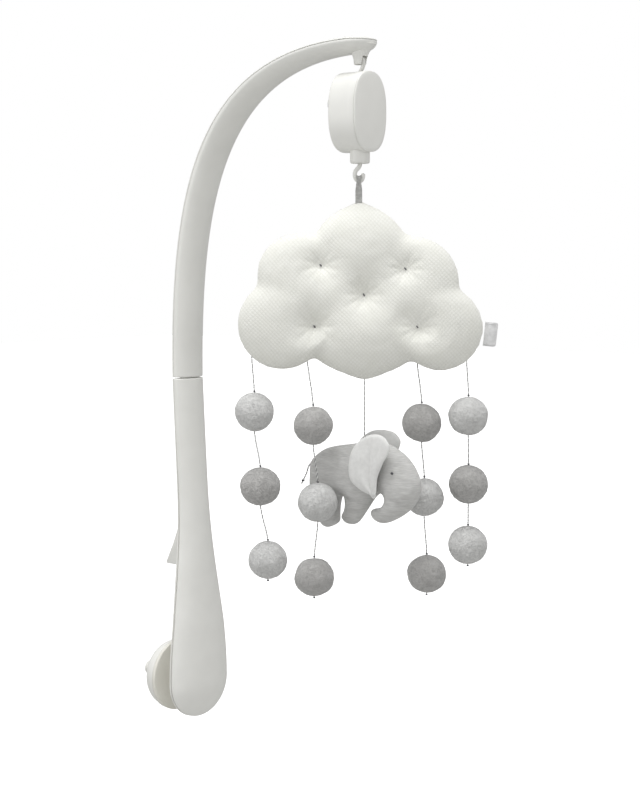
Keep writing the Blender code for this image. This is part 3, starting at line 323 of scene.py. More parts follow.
def streaked_knit():
    """Grey jersey with fine lighter streaks that run along the elephant."""
    mat, tree, shader, where = start_material("grey_knit", 0.95, sheen=0.3, turn=CLOUD_TURN - ELEPHANT_TURN)
    streaks = speckle(tree, where, 1.0, 4.0, stretch=(160.0, 160.0, 1700.0), twist=0.3)
    broad = speckle(tree, where, 1.0, 2.0, stretch=(60.0, 60.0, 260.0))
    split = add(tree, "ShaderNodeSeparateXYZ", {"Vector": where})
    rows = maths(tree, "ABSOLUTE", maths(tree, "SINE", maths(tree, "MULTIPLY", split.outputs["Z"], math.pi / 0.0009)))
    stitches = maths(tree, "ABSOLUTE",
                     maths(tree, "SINE", maths(tree, "MULTIPLY", split.outputs["X"], math.pi / 0.0010)))
    loops = maths(tree, "MULTIPLY", rows, maths(tree, "MULTIPLY_ADD", stitches, 0.5, 0.5))
    mixed = maths(tree, "MULTIPLY_ADD", streaks, 0.65, maths(tree, "MULTIPLY", broad, 0.35))
    colour = tint(tree, spread(tree, mixed, 0.36, 0.64), (0.480, 0.478, 0.464), (0.640, 0.637, 0.623))
    tree.links.new(colour, shader.inputs["Base Color"])
    fine = relief(tree, shader, streaks, 0.00012)
    relief(tree, shader, loops, 0.00014, fine)
    return mat


def plain_cloth(name, low, high, pitch, depth, turn=0.0, ribs=False):
    """Woven or knitted cloth: two crossed sets of yarns, or ribs across a tape."""
    mat, tree, shader, where = start_material(name, 0.92, sheen=0.2, turn=turn)
    split = add(tree, "ShaderNodeSeparateXYZ", {"Vector": where})
    across = maths(tree, "SINE", maths(tree, "MULTIPLY", split.outputs["Z"], math.tau / pitch))
    down = maths(tree, "SINE", maths(tree, "MULTIPLY", split.outputs["X"], math.tau / pitch))
    weave = across if ribs else maths(tree, "MULTIPLY", across, down)
    uneven = speckle(tree, where, 260.0, 3.0)
    mixed = maths(tree, "MULTIPLY_ADD", weave, 0.16, uneven)
    tree.links.new(tint(tree, spread(tree, mixed, 0.30, 0.70), low, high), shader.inputs["Base Color"])
    fine = relief(tree, shader, uneven, 0.00020)
    relief(tree, shader, weave, depth, fine)
    return mat


def yarn(name, low, high):
    """One ply of the twine, with its loose fibres."""
    mat, tree, shader, where = start_material(name, 0.95, sheen=0.3)
    fibres = speckle(tree, where, 2200.0, 3.0, twist=1.0)
    tree.links.new(tint(tree, spread(tree, fibres, 0.3, 0.7), low, high), shader.inputs["Base Color"])
    relief(tree, shader, fibres, 0.00015)
    return mat


def floor_paint():
    mat, tree, shader, where = start_material("pale_floor", 0.9)
    mottled = speckle(tree, where, 3.0, 2.0)
    tree.links.new(tint(tree, mottled, (0.58, 0.58, 0.57), (0.62, 0.62, 0.61)), shader.inputs["Base Color"])
    shader.inputs["Emission Color"].default_value = (1.0, 1.0, 1.0, 1.0)
    seen = add(tree, "ShaderNodeLightPath").outputs["Is Camera Ray"]
    tree.links.new(seen, shader.inputs["Emission Strength"])
    return mat


FLOOR = floor_paint()
PLASTIC = plastic("off_white_plastic", (0.800, 0.798, 0.765), (0.830, 0.828, 0.795), 0.38)
PAD_PLASTIC = plastic("soft_pad_plastic", (0.770, 0.755, 0.690), (0.810, 0.795, 0.730), 0.62)
STEEL = metal("steel", (0.42, 0.42, 0.43), (0.62, 0.62, 0.64), 0.34)
BRASS = metal("brass", (0.52, 0.38, 0.15), (0.74, 0.57, 0.27), 0.34)
CLOUD_KNIT = quilted_knit()
LABEL_CLOTH = plain_cloth("label_cloth", (0.70, 0.70, 0.70), (0.86, 0.86, 0.86), 0.0006, 0.00006, CLOUD_TURN)
LABEL_THREAD = yarn("label_thread", (0.62, 0.62, 0.62), (0.74, 0.74, 0.74))
TAPE = plain_cloth("twill_tape", (0.40, 0.40, 0.39), (0.60, 0.60, 0.58), 0.0012, 0.00025, CLOUD_TURN, ribs=True)
FELT_LIGHT = felt("felt_light", (0.49, 0.49, 0.48), (0.70, 0.70, 0.69))
FELT_DARK = felt("felt_dark", (0.30, 0.295, 0.285), (0.50, 0.492, 0.48))
YARN_DARK = yarn("twine_dark", (0.05, 0.05, 0.055), (0.13, 0.13, 0.14))
YARN_LIGHT = yarn("twine_light", (0.62, 0.62, 0.61), (0.82, 0.82, 0.80))
GREY_KNIT = streaked_knit()
EAR_WHITE = plain_cloth("ear_white", (0.76, 0.76, 0.745), (0.84, 0.84, 0.825), 0.0008, 0.00008)
EAR_GREY = plain_cloth("ear_grey", (0.42, 0.42, 0.40), (0.54, 0.54, 0.52), 0.0008, 0.00010)

BY_SLOT = {
    "off_white_plastic": PLASTIC, "pad_plastic": PAD_PLASTIC, "steel": STEEL, "brass": BRASS,
    "cloud_knit": CLOUD_KNIT, "label_cloth": LABEL_CLOTH, "twill_tape": TAPE, "felt_light": FELT_LIGHT,
    "felt_dark": FELT_DARK, "twine": YARN_DARK, "grey_knit": GREY_KNIT, "ear_cloth": EAR_WHITE,
}


def paint_cad_nodes():
    for part in frame["record"]["subparts"]:
        obj = frame["nodes"][part["node"]]
        for place in obj.material_slots:
            place.material = BY_SLOT[part["material_slot"]]


# ---- making pieces ------------------------------------------------------------------------------------
def finish_piece(obj, mat, slot_name, body, *nodes, sharp=None):
    """Give a piece its material and its body, and hide the CAD nodes that it stands for."""
    if mat:
        obj.data.materials.clear()
        obj.data.materials.append(mat)
    if obj.type == "MESH":
        obj.data.shade_smooth()
        if sharp:
            obj.data.set_sharp_from_angle(angle=math.radians(sharp))
    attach(obj, body)
    if nodes:
        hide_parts(*nodes)
    return obj


def from_bmesh(name, bm):
    bmesh.ops.recalc_face_normals(bm, faces=bm.faces[:])
    mesh = bpy.data.meshes.new(name)
    bm.to_mesh(mesh)
    bm.free()
    obj = bpy.data.objects.new(name, mesh)
    bpy.context.scene.collection.objects.link(obj)
    return obj


def loft(name, rings, place=None):
    """A closed skin through rings of equal count, capped at both ends."""
    bm = bmesh.new()
    loops = [[bm.verts.new(point) for point in ring] for ring in rings]
    count = len(rings[0])
    for low, high in zip(loops, loops[1:]):
        for i in range(count):
            j = (i + 1) % count
            bm.faces.new((low[i], low[j], high[j], high[i]))
    bm.faces.new(loops[0][::-1])
    bm.faces.new(loops[-1])
    if place:
        bm.transform(place)
    return from_bmesh(name, bm)


AXES = {
    "x": Matrix.Rotation(math.pi / 2, 4, "Y"),
    "z": Matrix.Identity(4),
}


def turned(name, profile, axis, origin, sides=64):
    """A turned piece: rings of (radius, height) along an axis; a profile off the axis closes on itself."""
    bm = bmesh.new()
    loops = []
    for radius, height in profile:
        if radius == 0.0:
            loops.append([bm.verts.new((0, 0, height))])
        else:
            loops.append([bm.verts.new((radius * math.cos(math.tau * i / sides),
                                        radius * math.sin(math.tau * i / sides), height)) for i in range(sides)])
    if profile[0][0] > 0.0:
        loops.append(loops[0])
    for low, high in zip(loops, loops[1:]):
        for i in range(sides):
            j = (i + 1) % sides
            corners = [low[i % len(low)], low[j % len(low)], high[j % len(high)], high[i % len(high)]]
            bm.faces.new(list(dict.fromkeys(corners)))
    bm.transform(Matrix.Translation(Vector(origin)) @ AXES[axis])
    return from_bmesh(name, bm)


def rounded(profile, radius, steps=4):
    """A profile whose inner corners are rounded."""
    points = [Vector(p) for p in profile]
    out = [tuple(points[0])]
    for before, here, after in zip(points, points[1:], points[2:]):
        back, on = before - here, after - here
        reach = min(radius, back.length * 0.45, on.length * 0.45)
        start, end = here + back.normalized() * reach, here + on.normalized() * reach
        for i in range(steps + 1):
            t = i / steps
            out.append(tuple(start * (1 - t) ** 2 + here * 2 * t * (1 - t) + end * t * t))
    out.append(tuple(points[-1]))
    return out


def smooth_route(points, steps):
    """Points along one smooth curve that passes through the given points."""
    knots = [Vector(p) for p in points]
    padded = [2 * knots[0] - knots[1], *knots, 2 * knots[-1] - knots[-2]]
    route = []
    for a, b, c, d in zip(padded, padded[1:], padded[2:], padded[3:]):
        for i in range(steps):
            t = i / steps
            route.append(0.5 * (2 * b + (c - a) * t + (2 * a - 5 * b + 4 * c - d) * t * t
                                + (3 * b - a - 3 * c + d) * t ** 3))
    route.append(knots[-1])
    return route


def frames(route, side):
    """Two unit vectors across each point of a route, without twist."""
    side = Vector(side)
    out = []
    for i in range(len(route)):
        along = (route[min(i + 1, len(route) - 1)] - route[max(i - 1, 0)]).normalized()
        side = (side - along * side.dot(along)).normalized()
        out.append((side, along.cross(side)))
    return out


def tube(name, route, radii, side=(0, 1, 0), sides=16, place=None):
    rings = []
    for here, (a, b), radius in zip(route, frames(route, side), radii):
        rings.append([here + (a * math.cos(math.tau * k / sides) + b * math.sin(math.tau * k / sides)) * radius
                      for k in range(sides)])
    return loft(name, rings, place)


def ease(t):
    t = min(max(t, 0.0), 1.0)
    return t * t * (3 - 2 * t)


def mix(a, b, t):
    return a + (b - a) * t


def soften(outline, radius, count):
    """The outline at even spacing, with its corners rounded to about radius."""
    points = np.array(outline, float)
    closed = np.vstack([points, points[:1]])
    steps = np.linalg.norm(np.diff(closed, axis=0), axis=1)
    length = np.concatenate([[0.0], np.cumsum(steps)])
    marks = np.linspace(0.0, length[-1], count, endpoint=False)
    even = np.stack([np.interp(marks, length, closed[:, k]) for k in range(points.shape[1])], axis=1)
    spacing = length[-1] / count
    reach = max(int(3 * radius / spacing), 1)
    weights = np.exp(-0.5 * ((np.arange(-reach, reach + 1) * spacing) / max(radius * 0.6, 1e-6)) ** 2)
    weights /= weights.sum()
    smooth = sum(w * np.roll(even, k, axis=0) for w, k in zip(weights, range(-reach, reach + 1)))
    return smooth


def bevelled(obj, width, segments=3, angle=35.0):
    """Apply a bevel to the sharp edges of a mesh."""
    change = obj.modifiers.new("edges", "BEVEL")
    change.width = width
    change.segments = segments
    change.limit_method = "ANGLE"
    change.angle_limit = math.radians(angle)
    return applied(obj)


def applied(obj):
    bpy.context.view_layer.update()
    seen = obj.evaluated_get(bpy.context.evaluated_depsgraph_get())
    mesh = bpy.data.meshes.new_from_object(seen)
    old = obj.data
    obj.modifiers.clear()
    obj.data = mesh
    bpy.data.meshes.remove(old)
    return obj


def cut(obj, *others):
    for other in others:
        change = obj.modifiers.new("cut", "BOOLEAN")
        change.operation = "DIFFERENCE"
        change.solver = "EXACT"
        change.object = other
    applied(obj)
    for other in others:
        bpy.data.objects.remove(other, do_unlink=True)
    return obj


def block(name, low, high):
    size = Vector(high) - Vector(low)
    middle = (Vector(high) + Vector(low)) / 2
    bm = bmesh.new()
    bmesh.ops.create_cube(bm, size=1.0, matrix=Matrix.Translation(middle) @ Matrix.Diagonal((*size, 1.0)))
    return from_bmesh(name, bm)


# ---- post and arm -------------------------------------------------------------------------------------
SEAM = 0.00022                  # the groove between a cover and its shell
SECTION = 150                   # points round one section of the post or arm
DOME = 0.0013                   # how far the cover's edges lie below its middle


def crowned_section(half, low, side, crown, power, radius):
    points = [(-half, low), (half, low), (half, side)]
    for i in range(1, 48):
        y = half * math.cos(math.pi * i / 48)
        points.append((y, side + crown * (1 - (y / half) ** 2) ** power))
    points.append((-half, side))
    return soften(points, min(radius, half * 0.5), SECTION)


def cover_section(half, low, high, dome=DOME, radius=0.0006):
    """The cover's outer face, at low, is slightly domed."""
    points = [(-half, high)]
    for i in range(25):
        y = half * (i / 12 - 1)
        points.append((y, low + dome * (y / half) ** 2))
    points.append((half, high))
    return soften(points, min(radius, half * 0.5), SECTION)


def post_back(z):
    return mix(NECK_BACK_X, FOOT_BACK_X, min(max((JOINT_Z - z) / (JOINT_Z - LEAN_END_Z), 0.0), 1.0))


def post_half(z):
    if z >= FOOT_Z:
        return mix(NECK_HALF, FOOT_RADIUS, ease((WIDEN_TOP - z) / (WIDEN_TOP - FOOT_Z)) ** 1.25)
    return math.sqrt(max(FOOT_RADIUS ** 2 - (FOOT_Z - z) ** 2, 0.0004 ** 2))


def post_levels():
    top = JOINT_Z - JOINT_GAP / 2
    levels = [top - 0.0004 * i for i in range(4)]
    levels += [mix(levels[-1], FOOT_Z, i / 60) for i in range(1, 60)]
    return levels + [FOOT_Z - FOOT_RADIUS * math.sin(math.radians(89.0) * i / 22) for i in range(23)]


def post_rings(section):
    rings = []
    for i, z in enumerate(post_levels()):
        inset = (0.0005, 0.00015, 0.0, 0.0)[min(i, 3)]
        rings.append([(post_back(z) + depth, y, z) for y, depth in section(z, inset)])
    return rings


def post_shell_section(z, inset):
    down = ease((JOINT_Z - z) / (JOINT_Z - FOOT_Z))
    crown = mix(NECK_CROWN, FOOT_CROWN, down)
    if z < FOOT_Z:
        crown *= post_half(z) / FOOT_RADIUS
    return crowned_section(post_half(z) - inset, COVER + SEAM + inset, mix(NECK_SIDE, FOOT_SIDE, down),
                           crown - inset, mix(0.72, 0.5, down), mix(0.0009, 0.0032, ease(down * 1.6)))


def post_cover_section(z, inset):
    return cover_section(post_half(z) - inset, inset, COVER)


def make_post():
    finish_piece(loft("post_shell", post_rings(post_shell_section)), PLASTIC, "off_white_plastic", "post",
                 "post_front_shell")
    finish_piece(loft("post_cover", post_rings(post_cover_section)), PLASTIC, "off_white_plastic", "post",
                 "post_back_cover")
    side = [(post_back(LEDGE_TOP_Z) + 0.0012, LEDGE_TOP_Z), (0.0036, 0.042), (-0.0056, 0.020),
            (LEDGE_TIP_X, 0.0016), (LEDGE_TIP_X + 0.0010, 0.0), (post_back(0.0) + 0.0012, 0.0),
            (post_back(0.03) + 0.0012, 0.03)]
    rings = [[(x, y, z) for x, z in side] for y in (-LEDGE_HALF, LEDGE_HALF)]
    hook = bevelled(loft("rail_hook", rings), 0.0008)
    finish_piece(hook, PLASTIC, "off_white_plastic", "post", "post_back_cover", sharp=40)


def arm_point(t):
    p0 = Vector((NECK_BACK_X, 0, JOINT_Z))
    p1 = Vector((ARM_HANDLE_LOW[0], 0, ARM_HANDLE_LOW[1]))
    p2 = Vector((ARM_HANDLE_TOP[0], 0, ARM_HANDLE_TOP[1]))
    p3 = Vector((ARM_TIP[0], 0, ARM_TIP[1]))
    place = p0 * (1 - t) ** 3 + p1 * 3 * (1 - t) ** 2 * t + p2 * 3 * (1 - t) * t ** 2 + p3 * t ** 3
    along = ((p1 - p0) * (1 - t) ** 2 + (p2 - p1) * 2 * (1 - t) * t + (p3 - p2) * t ** 2).normalized()
    return place, Vector((along.z, 0, -along.x))


def arm_stations():
    """Curve parameter, half width and end inset from the joint to the rounded tip."""
    fine = 4000
    points = np.array([arm_point(i / fine)[0] for i in range(fine + 1)])
    length = np.concatenate([[0.0], np.cumsum(np.linalg.norm(np.diff(points, axis=0), axis=1))])
    start, total = JOINT_GAP / 2, length[-1]
    marks = [start + 0.0004 * i for i in range(4)]
    marks += list(np.linspace(marks[-1], total - NECK_HALF, 90))[1:]
    marks += [total - NECK_HALF + NECK_HALF * math.sin(math.radians(89.0) * i / 20) for i in range(1, 21)]
    stations = []
    for i, mark in enumerate(marks):
        t = float(np.interp(mark, length, np.linspace(0, 1, fine + 1)))
        past = max(mark - (total - NECK_HALF), 0.0)
        half = math.sqrt(max(NECK_HALF ** 2 - past ** 2, 0.0004 ** 2))
        stations.append((t, half, (0.0005, 0.00015, 0.0, 0.0)[min(i, 3)]))
    return stations


def arm_skin(name, section):
    rings = []
    for t, half, inset in arm_stations():
        place, inward = arm_point(t)
        rings.append([place + inward * depth + Vector((0, y, 0)) for y, depth in section(half, inset, ease((t - 0.45) / 0.45))])
    return loft(name, rings)


def make_arm():
    def shell_section(half, inset, late):
        full = half / NECK_HALF
        low = COVER + SEAM + inset + 0.0014 * late
        return crowned_section(half - inset, low, mix(low + 0.0010, NECK_SIDE, full),
                               NECK_CROWN * mix(0.20, 1.0, full) - inset, 0.72, 0.0008)

    def outer_section(half, inset, late):
        dome = DOME + 0.0018 * late
        full = (half / NECK_HALF) ** 2
        return cover_section(half - inset, inset + dome * (1 - full), COVER + 0.0014 * late, dome * full)

    finish_piece(arm_skin("arm_shell", shell_section), PLASTIC, "off_white_plastic", "post", "arm_inner_shell")
    finish_piece(arm_skin("arm_cover", outer_section), PLASTIC, "off_white_plastic", "post", "arm_outer_cover")

    top = 0.4710
    flare = [(0.0, top), (0.0150, top), (0.0126, 0.4688), (0.0103, 0.4664), (0.0087, 0.4642), (0.0075, 0.4620),
             (0.0066, 0.4595), (0.0062, 0.4570), (0.0060, 0.4549), (0.0055, 0.4545), (0.0, 0.4545)]
    boss = turned("hanger_boss", flare, "z", (0, 0, 0), 56)
    oval = Matrix.Translation((AXIS_X, 0, 0)) @ Matrix.Diagonal((0.96, 0.74, 1, 1))
    boss.data.transform(oval)
    bore = turned("boss_bore", [(0.0, 0.4642), (0.0050, 0.4630), (0.0050, 0.4460), (0.0, 0.4460)], "z", (0, 0, 0), 40)
    bore.data.transform(Matrix.Translation((AXIS_X, 0, 0)) @ Matrix.Diagonal((0.94, 0.66, 1, 1)))
    window = block("boss_window", (AXIS_X + 0.0008, -0.0032, 0.4480), (AXIS_X + 0.0110, 0.0032, BAR_Z + 0.0026))
    finish_piece(cut(boss, bore, window), PLASTIC, "off_white_plastic", "post", "arm_inner_shell", sharp=40)
    dimple = turned("pin_cap", rounded([(0.0, 0.0009), (0.0017, 0.0009), (0.0017, -0.0006), (0.0, -0.0006)], 0.0004),
                    "z", (0, 0, 0), 24)
    dimple.data.transform(Matrix.Translation((AXIS_X, -0.0047, BAR_Z + 0.0040)) @ Matrix.Rotation(math.pi / 2, 4, "X"))
    finish_piece(dimple, PLASTIC, "off_white_plastic", "post")


def make_clamp():
    bore = BOLT_RADIUS + 0.0003
    pad = rounded([(bore, -PAD_THICK / 2), (bore, -PAD_THICK), (PAD_RADIUS, -PAD_THICK), (PAD_RADIUS, 0.0),
                   (bore, 0.0), (bore, -PAD_THICK / 2 + 0.0001)], 0.0011, 6)
    finish_piece(turned("pad_disc", pad[::-1], "x", (PAD_FACE_X, 0, FOOT_Z), 96), PAD_PLASTIC, "pad_plastic",
                 "pad", "clamp_pad", sharp=50)

    back = -PAD_THICK - 0.0003
    knob = [(bore, back), (PAD_RADIUS - 0.0012, back), (PAD_RADIUS - 0.0004, back - 0.0008),
            (PAD_RADIUS - 0.0004, back - 0.0024)]
    for i in range(1, 19):
        angle = math.radians(5 * i - 3)
        knob.append((mix(KNOB_RIM - 0.010, PAD_RADIUS - 0.0016, math.cos(angle) ** 0.75),
                     back - 0.0026 - (KNOB_THICK - 0.0034) * math.sin(angle)))
    knob += [(0.0120, back - KNOB_THICK), (0.0105, back - KNOB_THICK + 0.0004), (0.0100, back - KNOB_THICK + 0.0022),
             (bore, back - KNOB_THICK + 0.0024)]
    finish_piece(turned("knob_dome", knob, "x", (PAD_FACE_X, 0, FOOT_Z), 96), PLASTIC, "off_white_plastic",
                 "knob", "clamp_knob", sharp=50)

    profile = [(0.0, BOLT_END_X), (BOLT_RADIUS - 0.0008, BOLT_END_X), (BOLT_RADIUS, BOLT_END_X + 0.0008)]
    pitch = 0.0020
    x = BOLT_END_X + 0.0020
    while x < PAD_FACE_X + 0.012:
        profile += [(BOLT_RADIUS, x), (BOLT_RADIUS - 0.0006, x + 0.3 * pitch), (BOLT_RADIUS - 0.0006, x + 0.5 * pitch),
                    (BOLT_RADIUS, x + 0.8 * pitch)]
        x += pitch
    profile += [(BOLT_RADIUS, 0.0140), (0.0, 0.0140)]
    finish_piece(turned("threaded_bolt", profile, "x", (0, 0, FOOT_Z), 48), PLASTIC, "off_white_plastic",
                 "post", "clamp_bolt", sharp=40)


# ---- music box ----------------------------------------------------------------------------------------
def capsule(half_y, half_z, x, count=160, power=2.45):
    ring = []
    for i in range(count):
        angle = math.tau * i / count
        c, s = math.cos(angle), math.sin(angle)
        ring.append((x, half_y * math.copysign(abs(c) ** (2 / power), c),
                     BOX_MID_Z + half_z * math.copysign(abs(s) ** (2 / power), s)))
    return ring


def make_box():
    edge = 0.0024
    inner_y, inner_z = BOX_HALF_Y - BOX_WALL, BOX_HALF_Z - BOX_WALL
    rings = [capsule(inner_y, inner_z, BOX_BACK_X + BOX_WALL), capsule(inner_y, inner_z, BOX_SEAM_X),
             capsule(BOX_HALF_Y - 0.0003, BOX_HALF_Z - 0.0003, BOX_SEAM_X),
             capsule(BOX_HALF_Y, BOX_HALF_Z, BOX_SEAM_X - 0.0004)]
    rings += [capsule(BOX_HALF_Y, BOX_HALF_Z, mix(BOX_SEAM_X, BOX_BACK_X + edge, t)) for t in (0.3, 0.6, 0.9)]
    for i in range(9):
        angle = math.radians(90 * i / 8)
        less = edge * (1 - math.cos(angle))
        rings.append(capsule(BOX_HALF_Y - less, BOX_HALF_Z - less, BOX_BACK_X + edge * (1 - math.sin(angle))))
    rings.append(capsule(BOX_HALF_Y * 0.5, BOX_HALF_Z * 0.5, BOX_BACK_X))
    finish_piece(loft("box_case", rings), PLASTIC, "off_white_plastic", "music_box", "box_body", sharp=50)

    start = BOX_SEAM_X + 0.0003
    face = [capsule(BOX_HALF_Y - 0.0003, BOX_HALF_Z - 0.0003, start), capsule(BOX_HALF_Y, BOX_HALF_Z, start + 0.0003),
            capsule(BOX_HALF_Y, BOX_HALF_Z, BOX_FRONT_X - 0.0019),
            capsule(BOX_HALF_Y - 0.0002, BOX_HALF_Z - 0.0002, BOX_FRONT_X - 0.0015),
            capsule(BOX_HALF_Y - 0.0007, BOX_HALF_Z - 0.0007, BOX_FRONT_X - 0.0012)]
    for i in range(1, 12):
        share = 1 - i / 12
        face.append(capsule((BOX_HALF_Y - 0.0007) * share, (BOX_HALF_Z - 0.0007) * share,
                            BOX_FRONT_X - 0.0012 * share ** 2))
    finish_piece(loft("box_face", face), PLASTIC, "off_white_plastic", "music_box", "box_front_cover", sharp=60)

    low = COLLAR_BOTTOM_Z
    collar = rounded([(0.0034, 0.3800), (0.0034, low + 0.0004), (0.0048, low), (COLLAR_RADIUS - 0.0010, low),
                      (COLLAR_RADIUS, low + 0.0012), (COLLAR_RADIUS, 0.3848), (0.0034, 0.3848), (0.0034, 0.3801)],
                     0.0007, 5)
    finish_piece(turned("box_collar", collar, "z", (AXIS_X, 0, 0), 72), PLASTIC, "off_white_plastic", "music_box",
                 "box_body", sharp=50)

    route = smooth_route([(AXIS_X, 0, 0.4449), (AXIS_X + 0.0002, 0, 0.4482), (AXIS_X + 0.0022, 0, 0.4512),
                          (AXIS_X + 0.0037, 0, 0.4548), (AXIS_X + 0.0031, 0, 0.4590),
                          (AXIS_X + 0.0010, 0, 0.4614), (AXIS_X - 0.0017, 0, 0.4608),
                          (AXIS_X - 0.0030, 0, 0.4584)], 8)
    rings = []
    for here, (across, out) in zip(route, frames(route, (0, 1, 0))):
        section = soften([(-0.0017, -0.0011), (0.0017, -0.0011), (0.0017, 0.0011), (-0.0017, 0.0011)], 0.0005, 32)
        rings.append([here + across * a + out * b for a, b in section])
    finish_piece(loft("box_hanger", rings), PLASTIC, "off_white_plastic", "music_box", "box_hook", sharp=60)

    hub = rounded([(0.0, -0.0145), (0.0040, -0.0145), (0.0048, -0.0135), (0.0048, -0.0045), (0.0, -0.0045)], 0.0006)
    hub = [(r, BOX_BACK_X + h) for r, h in hub]
    finish_piece(turned("key_hub", hub, "x", (0, 0, KEY_Z), 48), PLASTIC, "off_white_plastic", "winder",
                 "winding_key", sharp=45)
    outline = soften([(-0.0125, -0.0030), (-0.0125, 0.0030), (-0.0060, 0.0044), (0.0060, 0.0044), (0.0125, 0.0030),
                      (0.0125, -0.0030), (0.0060, -0.0044), (-0.0060, -0.0044)], 0.0022, 72)
    rings = []
    for y, less in ((-0.0015, 0.0006), (-0.0012, 0.0001), (0.0, 0.0), (0.0012, 0.0001), (0.0015, 0.0006)):
        rings.append([(BOX_BACK_X - 0.0095 + x * (1 - less / 0.004), y, KEY_Z + z * (1 - less / 0.0125))
                      for z, x in outline])
    finish_piece(loft("key_wing", rings), PLASTIC, "off_white_plastic", "winder", "winding_key", sharp=45)


# ---- hook and tape ------------------------------------------------------------------------------------
def make_hook():
    route = smooth_route([(0, 0, 0.3740), (0, 0, 0.3706), (-0.0012, 0, 0.3681), (-0.0036, 0, 0.3653),
                          (-0.0043, 0, 0.3621), (-0.0034, 0, 0.3588), (-0.0009, 0, HOOK_LOW_Z),
                          (0.0016, 0, 0.3578), (0.0026, 0, 0.3605), (0.0026, 0, 0.3634)], 8)
    radii = [HOOK_WIRE] * len(route)
    end = len(route) - 1
    for i, share in enumerate((0.30, 0.62, 0.84, 0.95)):
        radii[end - i] = HOOK_WIRE * share
    finish_piece(tube("cloud_hook", route, radii, sides=28, place=HANG), PLASTIC, "off_white_plastic", "drum",
                 "output_hook", sharp=70)

    half = 0.0004
    bend = HOOK_WIRE + 0.0003 + half
    seat = HOOK_LOW_Z + 0.0017
    low = CLOUD_CENTRE_Z + cloud_radius(math.pi / 2) - 0.0010
    heights = [mix(low, seat, i / 12) for i in range(13)]
    front = [Vector((-0.0009, -bend, z)) for z in heights]
    over = [Vector((-0.0009, -bend * math.cos(math.pi * i / 16), seat + bend * math.sin(math.pi * i / 16)))
            for i in range(1, 16)]
    rear = [Vector((-0.0009, bend, z)) for z in heights[::-1]]
    route = front + over + rear
    rings = []
    for here, (across, out) in zip(route, frames(route, (1, 0, 0))):
        near_top = ease((here.z - mix(low, seat, 0.55)) / (seat - mix(low, seat, 0.55)))
        width = mix(0.0029, 0.0018, near_top)
        section = soften([(-width, -half), (width, -half), (width, half), (-width, half)], 0.0003, 40)
        cup = 0.9 * near_top
        rings.append([here + across * a + out * (b - cup * a * a / 0.004) for a, b in section])
    finish_piece(loft("tape_loop", rings, HANG), TAPE, "twill_tape", "cloud", "hanging_loop", sharp=60)


# ---- cloud --------------------------------------------------------------------------------------------
CLOUD_LOBES = (                 # along, height above the rail hook, radius
    (0.0000, 0.2951, 0.0411),
    (-0.0516, 0.2766, 0.0368),
    (0.0457, 0.2702, 0.0399),
    (-0.0670, 0.2341, 0.0386),
    (0.0698, 0.2311, 0.0364),
    (0.0041, 0.2559, 0.0658),
)
TUFTS = ((-0.0332, 0.2853), (0.0389, 0.2823), (0.0037, 0.2601), (-0.0384, 0.2331), (0.0491, 0.2331))
TUFT_DEPTH = 0.0035             # half the cushion's thickness where a tuft pulls it in


def cloud_radius(angle):
    """Distance from the cloud's centre to its outline: a soft maximum over the lobes."""
    c, s = math.cos(angle), math.sin(angle)
    total = 0.0
    for along, height, radius in CLOUD_LOBES:
        up = height - CLOUD_CENTRE_Z
        middle = along * c + up * s
        off = along * s - up * c
        if abs(off) < radius:
            reach = middle + math.sqrt(radius ** 2 - off ** 2)
            total += max(reach, 0.0) ** 40
    return total ** (1 / 40)


def cloud_bottom(along):
    """Height of the cloud's outline below a place along it."""
    low, high = 0.100, CLOUD_CENTRE_Z - 0.002
    for _ in range(40):
        middle = (low + high) / 2
        up = middle - CLOUD_CENTRE_Z
        inside = math.hypot(along, up) < cloud_radius(math.atan2(up, along))
        low, high = (low, middle) if inside else (middle, high)
    return low


def string_top(along):
    return min(cloud_bottom(along + shift) for shift in (-0.003, 0.0, 0.003)) - 0.0010


def cushion_start():
    """The slack cushion before it is stuffed, already drawn in at the tufts."""
    rings = []
    shares = (1.0, 0.985, 0.95, 0.88, 0.78, 0.66, 0.53, 0.40, 0.27, 0.13, 0.03)
    for side in (-1, 1):
        for share in (shares[::-1] if side < 0 else shares[1:]):
            ring = []
            for i in range(160):
                angle = math.tau * i / 160
                reach = share * cloud_radius(angle)
                along, up = reach * math.cos(angle), CLOUD_CENTRE_Z + reach * math.sin(angle)
                depth = 0.95 * CLOUD_HALF_DEPTH * (1 - share ** 2.6) ** 0.55
                ring.append((along, side * drawn_in(along, up, depth), up))
            rings.append(ring)
    return loft("cloud_soft", rings)


def drawn_in(along, up, depth):
    """Each tuft's hollow is longer above the stitch than below it."""
    for tuft_along, tuft_up in TUFTS:
        rise = up - tuft_up
        away = math.hypot(along - tuft_along, rise * (0.78 if rise > 0 else 1.12))
        pull = math.exp(-(away / 0.0130) ** 1.10)
        depth = mix(depth, min(depth, TUFT_DEPTH), pull)
    return depth


def stuffed(obj, pressure, held, cap, frames_run=20):
    """Inflate a slack cushion by cloth simulation; held vertices stay, others move at most cap."""
    group = obj.vertex_groups.new(name="held")
    for index, weight in held:
        group.add([index], weight, "REPLACE")
    before = [v.co.copy() for v in obj.data.vertices]
    cloth = obj.modifiers.new("cloth", "CLOTH")
    settings = cloth.settings
    settings.quality = 6
    settings.mass = 0.15
    settings.tension_stiffness = 12
    settings.compression_stiffness = 12
    settings.shear_stiffness = 6
    settings.bending_stiffness = 0.15
    settings.use_pressure = True
    settings.uniform_pressure_force = pressure
    settings.vertex_group_mass = "held"
    settings.effector_weights.gravity = 0.0
    cloth.point_cache.frame_start = 1
    cloth.point_cache.frame_end = frames_run
    scene = bpy.context.scene
    for number in range(1, frames_run + 1):
        scene.frame_set(number)
    applied(obj)
    scene.frame_set(1)
    for vertex, start in zip(obj.data.vertices, before):
        move = vertex.co - start
        if move.length > cap:
            vertex.co = start + move * (cap / move.length)
    obj.vertex_groups.clear()
    return obj


